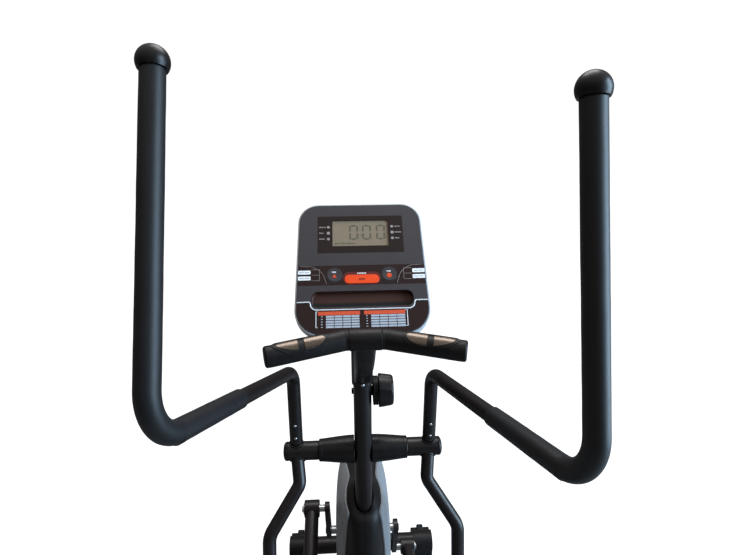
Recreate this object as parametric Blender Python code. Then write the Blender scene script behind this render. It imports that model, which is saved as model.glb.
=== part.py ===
"""Front-drive elliptical trainer, modelled as the pieces it is assembled from.

Metres, +Z up, +X to the user's right, +Y away from the user. The origin is on the floor, under the
middle of the machine. Each sub-part is one object; the moving ones hang from an empty on their axis.
"""

import math

import bmesh
import bpy
from mathutils import Matrix, Vector

# ---------------------------------------------------------------- driving dimensions
GAP = 0.0004                # clearance between pieces that touch
RUN = 0.0006                # radial clearance of a bore on a turning shaft
ROUND = 14                  # facets round a tube

PIVOT_Y = 0.0600            # swing-arm pivot axle, measured from the middle of the footprint
PIVOT_Z = 0.800
REST_SWING = math.radians(3.75)   # left arm forward and right arm back by this much at rest
SWING_HALF = math.radians(14.0)   # each arm's swing either side of its middle (used by the record)

POST_WIDTH = 0.0425         # flat-sided oval upright
POST_DEPTH = 0.076
POST_WALL = 0.0025
POST_FOOT_Z = 0.156
SOCKET_WALL = 0.0035
SOCKET_TOP_Z = 0.300

BEAM_WIDTH = 0.060          # main beam of the floor frame
BEAM_HEIGHT = 0.070
BEAM_WALL = 0.003
BEAM_BOTTOM_Z = 0.0804

STABILISER_RADIUS = 0.030
STABILISER_Z = 0.050
STABILISER_WALL = 0.002
FRONT_STABILISER_Y = 0.450  # from the pivot
REAR_STABILISER_Y = -0.620
STABILISER_LENGTH = 0.470
FOOT_LENGTH = 0.070
FOOT_OVERLAP = 0.040        # how far a foot slides over the stabiliser
FOOT_WALL = 0.006
WHEEL_RADIUS = 0.028
WHEEL_WIDTH = 0.022
WHEEL_REACH = 0.058         # wheel axle ahead of the stabiliser
WHEEL_LIFT = 0.004          # wheels hang clear of the floor until the machine is tipped
WHEEL_PIN_RADIUS = 0.005

CRANK_Y = 0.220             # crank axle, from the pivot
CRANK_Z = 0.340
CRANK_RADIUS = 0.140
CRANK_INNER_X = 0.098
CRANK_THICKNESS = 0.014
CRANK_AXLE_RADIUS = 0.0122
AXLE_SHELL_RADIUS = 0.024
AXLE_SHELL_HALF = 0.034
AXLE_MAST_WIDTH = 0.030
AXLE_MAST_DEPTH = 0.040

PULLEY_RADIUS = 0.110
PULLEY_X = 0.045
PULLEY_WIDTH = 0.012
DRIVE_PULLEY_RADIUS = 0.018
BELT_THICKNESS = 0.003
BELT_WIDTH = 0.010

FLYWHEEL_Y = 0.352
FLYWHEEL_Z = 0.385
FLYWHEEL_RADIUS = 0.100
FLYWHEEL_WIDTH = 0.030
FLYWHEEL_AXLE_RADIUS = 0.008
FORK_INNER_X = 0.0245
FORK_THICKNESS = 0.0055
FORK_DEPTH = 0.040

MAGNET_GAP = 0.009          # magnets to flywheel rim at the lightest setting
MAGNET_THICKNESS = 0.012
MAGNET_WIDTH = 0.024
MAGNET_FIRST = math.radians(15.0)
MAGNET_LAST = math.radians(88.0)
BRAKE_PIVOT_ANGLE = math.radians(108.0)
BRAKE_PIN_RADIUS = 0.004

PIVOT_AXLE_RADIUS = 0.010
PIVOT_AXLE_HALF = 0.177
CROSS_TUBE_RADIUS = 0.020
CROSS_TUBE_HALF = 0.1085
COVER_POST_RADIUS = 0.034   # tapered pivot cover, at the post
COVER_END_RADIUS = 0.0268   # and at the swing-arm sleeve
COVER_WALL = 0.0025
SLEEVE_RADIUS = 0.023
SLEEVE_INNER_X = 0.1095
SLEEVE_OUTER_X = 0.186
SLEEVE_WALL = 0.0045
CAP_DOME = 0.010

ARM_TUBE_RADIUS = 0.016     # swing tubes
ARM_WALL = 0.002
ARM_X = 0.164               # stub of the handlebar, from the centre plane
UPPER_BEND = (0.164, 0.0, 0.214)          # bend vertices, from the pivot, arm at mid swing
ELBOW = (0.306, -0.512, 0.340)
GRIP_TOP = (0.3045, -0.330, 0.842)
LOWER_BEND = (0.156, -0.040, -0.066)
FLARE_BEND = (0.228, -0.096, -0.165)
ARM_HINGE_X = 0.228
ARM_HINGE_Y = -0.200
ARM_HINGE_Z = -0.520
UPPER_BEND_RADIUS = 0.045
ELBOW_RADIUS = 0.070
LOWER_BEND_RADIUS = 0.050
STUB_HEIGHT = 0.095         # plug of the swing arm inside the handlebar
STUB_CLEARANCE = 0.0006
FOAM_RADIUS = 0.019
FOAM_CLEARANCE = 0.0006
FOAM_START = 0.50           # share of the run from upper bend to elbow where the foam begins
BALL_RADIUS = 0.025
BALL_RISE = 0.012           # ball centre above the end of the grip
BALL_PLUG_DEPTH = 0.020

HINGE_BUSH_RADIUS = 0.022   # lower end of the swing arm, on the pedal bar's pin
HINGE_BUSH_INNER_X = 0.184
HINGE_BUSH_OUTER_X = 0.2475
HINGE_PIN_RADIUS = 0.010
PEDAL_BAR_X = 0.150
PEDAL_BAR_RADIUS = 0.020
PEDAL_BAR_WALL = 0.002
PEDAL_BAR_BEND = math.radians(8.0)
PEDAL_BAR_TAIL = 0.330
BAR_EYE_RADIUS = 0.025
BAR_EYE_HALF = 0.022
CRANK_PIN_RADIUS = 0.010
CRANK_PIN_GAP = 0.0005      # the linkage is opened here: the pin stops short of the crank
PEDAL_LENGTH = 0.360
PEDAL_WIDTH = 0.140
PEDAL_BASE = 0.006
PEDAL_LIP = 0.022
PEDAL_WALL = 0.005
PEDAL_CORNER = 0.030
PEDAL_CENTRE = -0.210       # pedal centre behind the hinge

SHROUD_WALL = 0.0025
SHROUD_TOP_Z = 0.683
SHROUD_TOP_DROP = 0.043     # the collar is this much lower on the user's side
SHROUD_BOTTOM_Z = 0.1525
PANEL_WALL = 0.003
PANEL_CLEARANCE = 0.0008
SHROUD_FACETS = 14          # round each half, even
CRANK_HOLE_RADIUS = 0.020

STEM_WIDTH = 0.050          # sleeve that carries the pulse bar
STEM_DEPTH = 0.084
STEM_BOTTOM_Z = 0.994
STEM_TOP_Z = 1.092
STEM_ARM_WIDTH = 0.040
STEM_WALL = 0.003

BAR_Y = -0.264              # pulse bar, from the pivot
BAR_Z = 1.219
BAR_END_X = 0.1645
BAR_END_Y = -0.3095
BAR_END_Z = 1.214
BAR_MID_X = 0.035
BAR_TUBE_RADIUS = 0.0127
BAR_TUBE_WALL = 0.0017
PULSE_GRIP_RADIUS = 0.01875
PULSE_GRIP_INNER_X = 0.0290
CLAMP_COVER_HALF = 0.0285
CLAMP_COVER_RADIUS = 0.0195
SENSOR_CENTRE = 0.111       # along the grip, from the machine's centre plane
SENSOR_LENGTH = 0.084
SENSOR_TURN = math.radians(6.0)  # turned towards the user about the grip
SENSOR_WIDTH = 0.0270
SENSOR_THICKNESS = 0.0016

KNOB_Z = 0.963              # tension knob on the right of the post
KNOB_BASE_X = 0.0255
KNOB_BASE_THICKNESS = 0.0115
KNOB_BASE_RADIUS = 0.035
KNOB_X = 0.0385
KNOB_LENGTH = 0.035
KNOB_INNER_RADIUS = 0.041
KNOB_OUTER_RADIUS = 0.036
KNOB_SPINDLE_RADIUS = 0.006

CONSOLE_Y = -0.073          # middle of the console face, from the pivot
CONSOLE_Z = 1.300
CONSOLE_TILT = math.radians(41.7)         # face leans back from upright by this much
CONSOLE_TOP = 0.143
CONSOLE_BOTTOM = -0.148
CONSOLE_TOP_HALF = 0.127
CONSOLE_BOTTOM_HALF = 0.134
CONSOLE_TOP_CORNER = 0.040
CONSOLE_BOTTOM_CORNER = 0.052
CONSOLE_WALL = 0.003
FACE_DEPTH = 0.022
BACK_LIP = -0.006           # front edge of the back shell, behind the face
BACK_DEPTH = 0.058
BACK_TAPER = 0.014
LENS_HALF = 0.090
LENS_TOP = 0.115
LENS_BOTTOM = 0.028
LENS_THICKNESS = 0.0018
DISPLAY_HALF = 0.060
DISPLAY_TOP = 0.106
DISPLAY_BOTTOM = 0.043
TRAY_HALF = 0.103
TRAY_TOP = -0.058
TRAY_BOTTOM = -0.092
TRAY_DEPTH = 0.014
ROUND_BUTTON_X = 0.056
ROUND_BUTTON_V = -0.0225
ROUND_BUTTON_RADIUS = 0.0147
MODE_BUTTON_HALF = 0.036
MODE_BUTTON_V = -0.0315
MODE_BUTTON_HEIGHT = 0.021
BUTTON_PROUD = 0.0015
BUTTON_FLANGE = 0.0018

# ---------------------------------------------------------------- values worked out from them
PIVOT = Vector((0.0, PIVOT_Y, PIVOT_Z))
CRANK_CENTRE = Vector((0.0, PIVOT_Y + CRANK_Y, CRANK_Z))
FLYWHEEL_CENTRE = Vector((0.0, PIVOT_Y + FLYWHEEL_Y, FLYWHEEL_Z))
BEAM_TOP_Z = BEAM_BOTTOM_Z + BEAM_HEIGHT
CRANK_OUTER_X = CRANK_INNER_X + CRANK_THICKNESS
SIDES = {"left": -1.0, "right": 1.0}

BLACK_PAINT = ((0.020, 0.017, 0.017), 0.32, 0.0)
BLACK_PLASTIC = ((0.018, 0.019, 0.021), 0.48, 0.0)
FOAM = ((0.016, 0.018, 0.022), 0.75, 0.0)
SILVER_PLASTIC = ((0.45, 0.47, 0.49), 0.35, 0.0)
CONSOLE_GREY = ((0.060, 0.056, 0.064), 0.50, 0.0)
STEEL = ((0.55, 0.55, 0.56), 0.30, 1.0)
CAST_IRON = ((0.20, 0.20, 0.21), 0.45, 1.0)
RUBBER = ((0.025, 0.025, 0.026), 0.80, 0.0)
ORANGE = ((0.90, 0.10, 0.01), 0.45, 0.0)
DISPLAY_GREEN = ((0.36, 0.34, 0.26), 0.25, 0.0)
LENS_BROWN = ((0.035, 0.022, 0.021), 0.12, 0.0)


# ---------------------------------------------------------------- tools
def clear_scene():
    """Start from an empty scene."""
    for obj in list(bpy.data.objects):
        bpy.data.objects.remove(obj, do_unlink=True)


def link(name, data):
    """Put a mesh or curve into the scene as an object."""
    obj = bpy.data.objects.new(name, data)
    bpy.context.scene.collection.objects.link(obj)
    return obj


def solid_from(name, bm):
    """Turn a bmesh into a closed object with its faces pointing out."""
    bmesh.ops.remove_doubles(bm, verts=bm.verts, dist=1e-6)
    bmesh.ops.recalc_face_normals(bm, faces=bm.faces)
    mesh = bpy.data.meshes.new(name)
    bm.to_mesh(mesh)
    bm.free()
    return link(name, mesh)


def settle(obj):
    """Replace an object by the mesh that its modifiers make."""
    bpy.context.view_layer.update()
    depsgraph = bpy.context.evaluated_depsgraph_get()
    mesh = bpy.data.meshes.new_from_object(obj.evaluated_get(depsgraph))
    if obj.type == "MESH":
        obj.modifiers.clear()
        obj.data = mesh
        return obj
    name = obj.name
    bpy.data.objects.remove(obj, do_unlink=True)
    return link(name, mesh)


def combine(target, others, operation):
    """Boolean each of the others into the target, and remove them."""
    for other in others:
        modifier = target.modifiers.new(operation.lower(), "BOOLEAN")
        modifier.operation = operation
        modifier.solver = "EXACT"
        modifier.object = other
        settle(target)
        bpy.data.objects.remove(other, do_unlink=True)
    return target


def join(target, *others):
    """Union of closed pieces."""
    return combine(target, others, "UNION")


def cut(target, *others):
    """Target less the others."""
    return combine(target, others, "DIFFERENCE")


def common(target, other):
    """What two closed pieces share."""
    return combine(target, [other], "INTERSECT")


def finish(obj, look, parent=None):
    """Give a sub-part its material and shading, and hang it from its parent."""
    colour, roughness, metallic = look
    material = bpy.data.materials.new(obj.name + "_finish")
    material.use_nodes = True
    shader = material.node_tree.nodes["Principled BSDF"]
    shader.inputs["Base Color"].default_value = (*colour, 1.0)
    shader.inputs["Roughness"].default_value = roughness
    shader.inputs["Metallic"].default_value = metallic
    obj.data.materials.clear()
    obj.data.materials.append(material)
    obj.data.shade_smooth()
    obj.data.set_sharp_from_angle(angle=math.radians(35))
    obj.parent = parent
    return obj


def empty(name, location, tilt=0.0, parent=None):
    """A frame for pieces that move or are placed together, turned about X."""
    obj = link(name, None)
    obj.parent = parent
    obj.location = location
    obj.rotation_euler = (tilt, 0.0, 0.0)
    return obj


def turned(name, profile, centre=(0.0, 0.0, 0.0), axis="X", sides=ROUND):
    """Solid of revolution from (along, radius) points, closed unless it starts and ends on the axis."""
    bm = bmesh.new()
    hollow = min(radius for _, radius in profile) > 0.0
    verts = [bm.verts.new((along, 0.0, radius)) for along, radius in profile]
    pairs = list(zip(verts, verts[1:]))
    if hollow:
        pairs.append((verts[-1], verts[0]))
    edges = [bm.edges.new(pair) for pair in pairs]
    bmesh.ops.spin(bm, geom=verts + edges, cent=(0, 0, 0), axis=(1, 0, 0), dvec=(0, 0, 0),
                   angle=math.tau, steps=sides, use_merge=True, use_duplicate=False)
    if axis == "Z":
        bmesh.ops.rotate(bm, verts=bm.verts, cent=(0, 0, 0), matrix=Matrix.Rotation(-math.pi / 2, 3, "Y"))
    bmesh.ops.translate(bm, verts=bm.verts, vec=centre)
    return solid_from(name, bm)


def shaft(name, low, high, radius, centre=(0.0, 0.0, 0.0), axis="X", sides=ROUND):
    """Plain cylinder between two places on its axis."""
    return turned(name, [(low, 0.0), (low, radius), (high, radius), (high, 0.0)], centre, axis, sides)


def ring(name, low, high, inner, outer, centre=(0.0, 0.0, 0.0), axis="X", sides=ROUND):
    """Plain tube between two places on its axis."""
    profile = [(low, inner), (low, outer), (high, outer), (high, inner)]
    return turned(name, profile, centre, axis, sides)


def prism(name, outline, low, high, axis="X"):
    """Outline of (a, b) points pushed along an axis: (Y, Z) for X, (X, Z) for Y, (X, Y) for Z."""
    order = {"X": (2, 0, 1), "Y": (0, 2, 1), "Z": (0, 1, 2)}[axis]
    bm = bmesh.new()
    verts = []
    for a, b in outline:
        source = (a, b, low)
        verts.append(bm.verts.new([source[i] for i in order]))
    face = bm.faces.new(verts)
    pushed = bmesh.ops.extrude_face_region(bm, geom=[face])["geom"]
    push = [(0.0, 0.0, high - low)[i] for i in order]
    bmesh.ops.translate(bm, verts=[v for v in pushed if isinstance(v, bmesh.types.BMVert)], vec=push)
    return solid_from(name, bm)


def lofted(name, sections):
    """Solid through (X, Y) outlines of one length, each at its own height."""
    bm = bmesh.new()
    rows = []
    for outline, z in sections:
        rows.append([bm.verts.new((x, y, z)) for x, y in outline])
    count = len(rows[0])
    for lower, upper in zip(rows, rows[1:]):
        for i in range(count):
            j = (i + 1) % count
            bm.faces.new((lower[i], lower[j], upper[j], upper[i]))
    bm.faces.new(rows[0])
    bm.faces.new(rows[-1])
    return solid_from(name, bm)


def box(name, low, high):
    """Block between two corners."""
    (x0, y0, z0), (x1, y1, z1) = low, high
    return prism(name, [(x0, y0), (x1, y0), (x1, y1), (x0, y1)], z0, z1, "Z")


def rounded(corners, radii, steps=4):
    """Outline through corners, each rounded to its radius by an arc of a few steps."""
    outline = []
    count = len(corners)
    if not isinstance(radii, (list, tuple)):
        radii = [radii] * count
    for i, radius in enumerate(radii):
        here = Vector(corners[i])
        before = (Vector(corners[i - 1]) - here).normalized()
        after = (Vector(corners[(i + 1) % count]) - here).normalized()
        half = before.angle(after) / 2
        if radius <= 0.0:
            outline.append(tuple(here))
            continue
        centre = here + (before + after).normalized() * radius / math.sin(half)
        start = here + before * radius / math.tan(half) - centre
        sweep = start.angle_signed(here + after * radius / math.tan(half) - centre)
        for k in range(steps + 1):
            arm = start.copy()
            arm.rotate(Matrix.Rotation(-sweep * k / steps, 2))
            outline.append(tuple(centre + arm))
    return outline


def grown(corners, distance):
    """Corners of a polygon moved to the right of its way round: out, when that is anticlockwise."""
    result = []
    count = len(corners)
    for i in range(count):
        here = Vector(corners[i])
        into = (here - Vector(corners[i - 1])).normalized()
        out = (Vector(corners[(i + 1) % count]) - here).normalized()
        normal_in = Vector((into.y, -into.x))
        normal_out = Vector((out.y, -out.x))
        half = (normal_in + normal_out).normalized()
        result.append(tuple(here + half * distance / half.dot(normal_in)))
    return result


def flat_oval(width, depth, steps=6):
    """Flat-sided oval outline in (X, Y), its long way along Y."""
    radius = width / 2
    reach = depth / 2 - radius
    outline = []
    for end in (1, -1):
        for k in range(steps + 1):
            angle = math.pi * k / steps
            outline.append((end * radius * math.cos(angle), end * (reach + radius * math.sin(angle))))
    return outline


def bent(points, radii, step=math.radians(15)):
    """Centre line of a bent tube: straight runs between points with an arc at each bend."""
    points = [Vector(p) for p in points]
    path = [points[0]]
    for i, radius in enumerate(radii, start=1):
        before = (points[i - 1] - points[i]).normalized()
        after = (points[i + 1] - points[i]).normalized()
        half = before.angle(after) / 2
        centre = points[i] + (before + after).normalized() * radius / math.sin(half)
        arm = points[i] + before * radius / math.tan(half) - centre
        sweep = math.pi - 2 * half
        axis = arm.cross(points[i] + after * radius / math.tan(half) - centre)
        steps = max(2, round(sweep / step))
        for k in range(steps + 1):
            path.append(centre + Matrix.Rotation(sweep * k / steps, 3, axis) @ arm)
    path.append(points[-1])
    return path


def rod(name, path, radius, wall=0.0, sides=ROUND):
    """Round bar along a path, or a tube open at both ends when it has a wall."""
    curve = bpy.data.curves.new(name, "CURVE")
    curve.dimensions = "3D"
    curve.bevel_depth = radius
    curve.bevel_resolution = (sides - 4) // 2
    curve.use_fill_caps = wall == 0.0
    spline = curve.splines.new("POLY")
    spline.points.add(len(path) - 1)
    for point, place in zip(spline.points, path):
        point.co = (*place, 1.0)
    obj = link(name, curve)
    if wall:
        modifier = obj.modifiers.new("wall", "SOLIDIFY")
        modifier.thickness = wall
        modifier.offset = -1.0
    obj = settle(obj)
    bm = bmesh.new()
    bm.from_mesh(obj.data)
    bpy.data.objects.remove(obj, do_unlink=True)
    return solid_from(name, bm)


def sided(points, side):
    """Points for one side of the machine, from those given for the right."""
    return [Vector((side * x, y, z)) for x, y, z in points]


def span(side, low, high):
    """Ends along X of a stretch given for the right side, in rising order."""
    return sorted((side * low, side * high))


# ---------------------------------------------------------------- floor frame
def stabiliser_place(offset):
    """Centre of a stabiliser."""
    return Vector((0.0, PIVOT_Y + offset, STABILISER_Z))


def make_main_frame():
    """Main beam with the post socket, the crank axle shell on its mast, and the flywheel fork."""
    half = BEAM_WIDTH / 2
    front = PIVOT_Y + FRONT_STABILISER_Y + STABILISER_RADIUS * 0.7
    rear = PIVOT_Y + REAR_STABILISER_Y - STABILISER_RADIUS * 0.7
    frame = box("main_frame", (-half, rear, BEAM_BOTTOM_Z), (half, front, BEAM_TOP_Z))
    hollow = half - BEAM_WALL
    inside = box("inside", (-hollow, rear - 0.01, BEAM_BOTTOM_Z + BEAM_WALL),
                 (hollow, front + 0.01, BEAM_TOP_Z - BEAM_WALL))
    frame = cut(frame, inside)

    socket_width = POST_WIDTH + 2 * (GAP + SOCKET_WALL)
    socket_depth = POST_DEPTH + 2 * (GAP + SOCKET_WALL)
    socket = prism("socket", flat_oval(socket_width, socket_depth), BEAM_TOP_Z - 0.001, SOCKET_TOP_Z, "Z")
    socket.data.transform(Matrix.Translation((0.0, PIVOT_Y, 0.0)))
    mast = box("mast", (-AXLE_MAST_WIDTH / 2, CRANK_CENTRE.y - AXLE_MAST_DEPTH / 2, BEAM_TOP_Z - 0.001),
               (AXLE_MAST_WIDTH / 2, CRANK_CENTRE.y + AXLE_MAST_DEPTH / 2, CRANK_Z))
    shell = shaft("shell", -AXLE_SHELL_HALF, AXLE_SHELL_HALF, AXLE_SHELL_RADIUS, CRANK_CENTRE, sides=24)
    frame = join(frame, socket, mast, shell)

    pivot = brake_pivot()
    top = FLYWHEEL_Z + FORK_DEPTH / 2
    fork_y = FLYWHEEL_CENTRE.y
    straight = [(fork_y - FORK_DEPTH / 2, BEAM_TOP_Z - 0.001), (fork_y + FORK_DEPTH / 2, BEAM_TOP_Z - 0.001),
                (fork_y + FORK_DEPTH / 2, top), (fork_y - FORK_DEPTH / 2, top)]
    horned = straight[:3] + [(pivot.y + 0.010, pivot.z + 0.010), (pivot.y - 0.010, pivot.z + 0.010),
                             (pivot.y - 0.010, pivot.z - 0.012), (fork_y - FORK_DEPTH / 2, FLYWHEEL_Z)]
    right = prism("right", straight, FORK_INNER_X, FORK_INNER_X + FORK_THICKNESS)
    left = prism("left", horned, -FORK_INNER_X - FORK_THICKNESS, -FORK_INNER_X)
    pin = shaft("pin", -FORK_INNER_X - 0.001, MAGNET_WIDTH / 2, BRAKE_PIN_RADIUS, pivot, sides=12)
    frame = join(frame, right, left, pin)

    post_hole = prism("hole", flat_oval(POST_WIDTH + 2 * GAP, POST_DEPTH + 2 * GAP),
                      POST_FOOT_Z - GAP, SOCKET_TOP_Z + 0.01, "Z")
    post_hole.data.transform(Matrix.Translation((0.0, PIVOT_Y, 0.0)))
    axle_bore = shaft("bore", -0.05, 0.05, CRANK_AXLE_RADIUS + RUN + GAP, CRANK_CENTRE, sides=24)
    fork_bore = shaft("bore", -0.05, 0.05, FLYWHEEL_AXLE_RADIUS + RUN, FLYWHEEL_CENTRE, sides=24)
    frame = cut(frame, post_hole, axle_bore, fork_bore)
    return finish(frame, BLACK_PAINT)


def make_stabiliser(name, offset):
    """Round cross tube that the beam is bolted down on."""
    half = STABILISER_LENGTH / 2
    tube = ring(name, -half, half, STABILISER_RADIUS - STABILISER_WALL, STABILISER_RADIUS, sides=20)
    finish(tube, BLACK_PAINT)
    tube.location = stabiliser_place(offset)
    return tube


def foot_outline(height):
    """End view of a foot: round over the tube and flat on the floor."""
    radius = STABILISER_RADIUS + FOOT_WALL
    outline = []
    for k in range(13):
        angle = math.radians(-20 + 220 * k / 12)
        outline.append((radius * math.cos(angle), radius * math.sin(angle)))
    outline += [(-radius * 0.8, -height), (radius * 0.8, -height)]
    return outline


def make_foot(side, offset, with_wheel):
    """Moulded end cap of a stabiliser; the front ones carry a transport wheel in a fork."""
    end = STABILISER_LENGTH / 2
    low, high = span(side, end - FOOT_OVERLAP, end - FOOT_OVERLAP + FOOT_LENGTH)
    foot = prism("foot", foot_outline(STABILISER_Z), low, high)
    socket_low, socket_high = span(side, end - FOOT_OVERLAP - 0.01, end + GAP)
    socket = shaft("socket", socket_low, socket_high, STABILISER_RADIUS + GAP, sides=20)
    if with_wheel:
        wheel_z = WHEEL_RADIUS + WHEEL_LIFT - STABILISER_Z
        radius = WHEEL_RADIUS * 0.6
        cheeks = rounded([(0.02, wheel_z - radius), (WHEEL_REACH + radius, wheel_z - radius),
                          (WHEEL_REACH + radius, wheel_z + radius), (0.02, wheel_z + radius)],
                         [0, radius * 0.9, radius * 0.9, 0])
        fork = prism("fork", cheeks, low, high)
        foot = join(foot, fork)
        middle = (low + high) / 2
        half = WHEEL_WIDTH / 2 + 0.0015
        slot_radius = WHEEL_RADIUS + 0.003
        slot = shaft("slot", middle - half, middle + half, slot_radius, (0.0, WHEEL_REACH, wheel_z), sides=24)
        foot = cut(foot, slot)
        pin = shaft("pin", middle - half - 0.002, middle + half + 0.002, WHEEL_PIN_RADIUS,
                    (0.0, WHEEL_REACH, wheel_z), sides=12)
        foot = join(foot, pin)
    foot = cut(foot, socket)
    return foot


def make_feet():
    """Two front feet with their wheels, and two rear feet."""
    for word, side in SIDES.items():
        front = make_foot(side, FRONT_STABILISER_Y, True)
        front.name = "front_foot_" + word
        finish(front, BLACK_PLASTIC)
        front.location = stabiliser_place(FRONT_STABILISER_Y)
        rear = make_foot(side, REAR_STABILISER_Y, False)
        rear.name = "rear_foot_" + word
        finish(rear, BLACK_PLASTIC)
        rear.location = stabiliser_place(REAR_STABILISER_Y)

        low, high = span(side, STABILISER_LENGTH / 2 - FOOT_OVERLAP,
                         STABILISER_LENGTH / 2 - FOOT_OVERLAP + FOOT_LENGTH)
        half = WHEEL_WIDTH / 2
        wheel = ring("transport_wheel_" + word, -half, half, WHEEL_PIN_RADIUS + RUN, WHEEL_RADIUS, sides=24)
        finish(wheel, RUBBER)
        wheel.location = ((low + high) / 2, PIVOT_Y + FRONT_STABILISER_Y + WHEEL_REACH,
                          WHEEL_RADIUS + WHEEL_LIFT)


# ---------------------------------------------------------------- upright
def console_point(across, up, out):
    """Machine place of a point on the console: across and up its face, and out from it."""
    sin_tilt, cos_tilt = math.sin(CONSOLE_TILT), math.cos(CONSOLE_TILT)
    return Vector((across, PIVOT_Y + CONSOLE_Y + up * sin_tilt - out * cos_tilt,
                   CONSOLE_Z + up * cos_tilt + out * sin_tilt))


def console_frame():
    """Matrix that stands a shape drawn flat in (X, Y) up as the console face."""
    turn = Matrix.Rotation(math.pi / 2 - CONSOLE_TILT, 4, "X")
    return Matrix.Translation(console_point(0.0, 0.0, 0.0)) @ turn


def make_upright():
    """Oval post with the pivot's cross tube through it and the console plate on its slanted top."""
    top = console_point(0.0, CONSOLE_TOP, -BACK_DEPTH).z
    post = prism("upright_post", flat_oval(POST_WIDTH, POST_DEPTH), POST_FOOT_Z, top, "Z")
    post.data.transform(Matrix.Translation((0.0, PIVOT_Y, 0.0)))
    plate_back = -BACK_DEPTH - GAP - 0.004
    above = box("above", (-0.1, -0.3, plate_back + 0.001), (0.1, 0.3, 0.4))
    above.data.transform(console_frame())
    post = cut(post, above)
    cross = shaft("cross", -CROSS_TUBE_HALF, CROSS_TUBE_HALF, CROSS_TUBE_RADIUS, PIVOT, sides=24)
    post = join(post, cross)
    inside = prism("inside", flat_oval(POST_WIDTH - 2 * POST_WALL, POST_DEPTH - 2 * POST_WALL),
                   POST_FOOT_Z - 0.01, top + 0.05, "Z")
    inside.data.transform(Matrix.Translation((0.0, PIVOT_Y, 0.0)))
    keep = shaft("keep", -CROSS_TUBE_HALF, CROSS_TUBE_HALF, CROSS_TUBE_RADIUS, PIVOT, sides=24)
    inside = cut(inside, keep)
    post = cut(post, inside)

    centre_up = (0.0 - CONSOLE_Y) * math.sin(CONSOLE_TILT)
    plate = box("plate", (-0.050, centre_up - 0.055, plate_back), (0.050, centre_up + 0.050, plate_back + 0.004))
    plate.data.transform(console_frame())
    post = join(post, plate)

    axle_bore = shaft("bore", -0.12, 0.12, PIVOT_AXLE_RADIUS + GAP, PIVOT, sides=ROUND)
    knob_centre = Vector((0.0, PIVOT_Y, KNOB_Z))
    knob_hole = shaft("hole", 0.0, 0.03, KNOB_SPINDLE_RADIUS * 2 + GAP, knob_centre, sides=ROUND)
    screw_hole = shaft("hole", -0.03, 0.0, KNOB_SPINDLE_RADIUS + GAP, knob_centre, sides=ROUND)
    cable_hole = shaft("hole", 0.0, 0.06, 0.006, (0.0, PIVOT_Y, cable_exit_z()), sides=ROUND)
    cable_hole.data.transform(Matrix.Translation((0.0, PIVOT_Y, cable_exit_z()))
                              @ Matrix.Rotation(math.pi / 2, 4, "Z")
                              @ Matrix.Translation((0.0, -PIVOT_Y, -cable_exit_z())))
    post = cut(post, axle_bore, knob_hole, screw_hole, cable_hole)
    return finish(post, BLACK_PAINT)


def make_stem():
    """Sleeve over the post with an arm that rises to the pulse bar."""
    sleeve = prism("handlebar_stem", flat_oval(STEM_WIDTH, STEM_DEPTH), STEM_BOTTOM_Z, STEM_TOP_Z, "Z")
    half = STEM_ARM_WIDTH / 2
    reach = STEM_DEPTH / 2
    outline = [(-0.020, STEM_BOTTOM_Z + 0.012), (-reach + 0.004, STEM_BOTTOM_Z + 0.012), (-0.076, STEM_BOTTOM_Z + 0.045),
               (-0.150, STEM_BOTTOM_Z + 0.100), (-0.225, STEM_BOTTOM_Z + 0.165), (BAR_Y - 0.004, BAR_Z - 0.012),
               (BAR_Y + 0.030, BAR_Z - 0.012), (-0.190, STEM_TOP_Z + 0.055), (-0.130, STEM_TOP_Z + 0.020),
               (-0.070, STEM_TOP_Z - 0.004), (-0.020, STEM_TOP_Z - 0.004)]
    arm = prism("arm", outline, -half, half)
    stem = join(sleeve, arm)
    bar_room = rod("room", pulse_bar_path(1.0, overall=True), CLAMP_COVER_RADIUS + GAP, sides=20)
    bar_room.data.transform(Matrix.Translation((0.0, -PIVOT_Y, 0.0)))
    hole = prism("hole", flat_oval(POST_WIDTH + 2 * GAP, POST_DEPTH + 2 * GAP),
                 STEM_BOTTOM_Z - 0.01, STEM_TOP_Z + 0.01, "Z")
    inside = prism("inside", grown(outline, STEM_WALL), -half + STEM_WALL, half - STEM_WALL)
    stem = cut(stem, inside, bar_room, hole)
    finish(stem, BLACK_PAINT)
    stem.location = (0.0, PIVOT_Y, 0.0)
    return stem


# ---------------------------------------------------------------- pulse bar
def pulse_bar_path(share, overall=False, side=1.0, start=0.0):
    """Bowed centre line of the pulse bar; one side from a start, or both sides overall."""
    right = [(BAR_MID_X, PIVOT_Y + BAR_Y, BAR_Z),
             (BAR_END_X * share, PIVOT_Y + BAR_Y + (BAR_END_Y - BAR_Y) * share, BAR_Z + (BAR_END_Z - BAR_Z) * share)]
    if overall:
        points = sided(reversed(right), -1.0) + sided(right, 1.0)
        return bent(points, [0.060, 0.060])
    points = sided([(start, PIVOT_Y + BAR_Y, BAR_Z)] + right, side)
    return bent(points, [0.045 if start < BAR_MID_X else 0.0])


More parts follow.
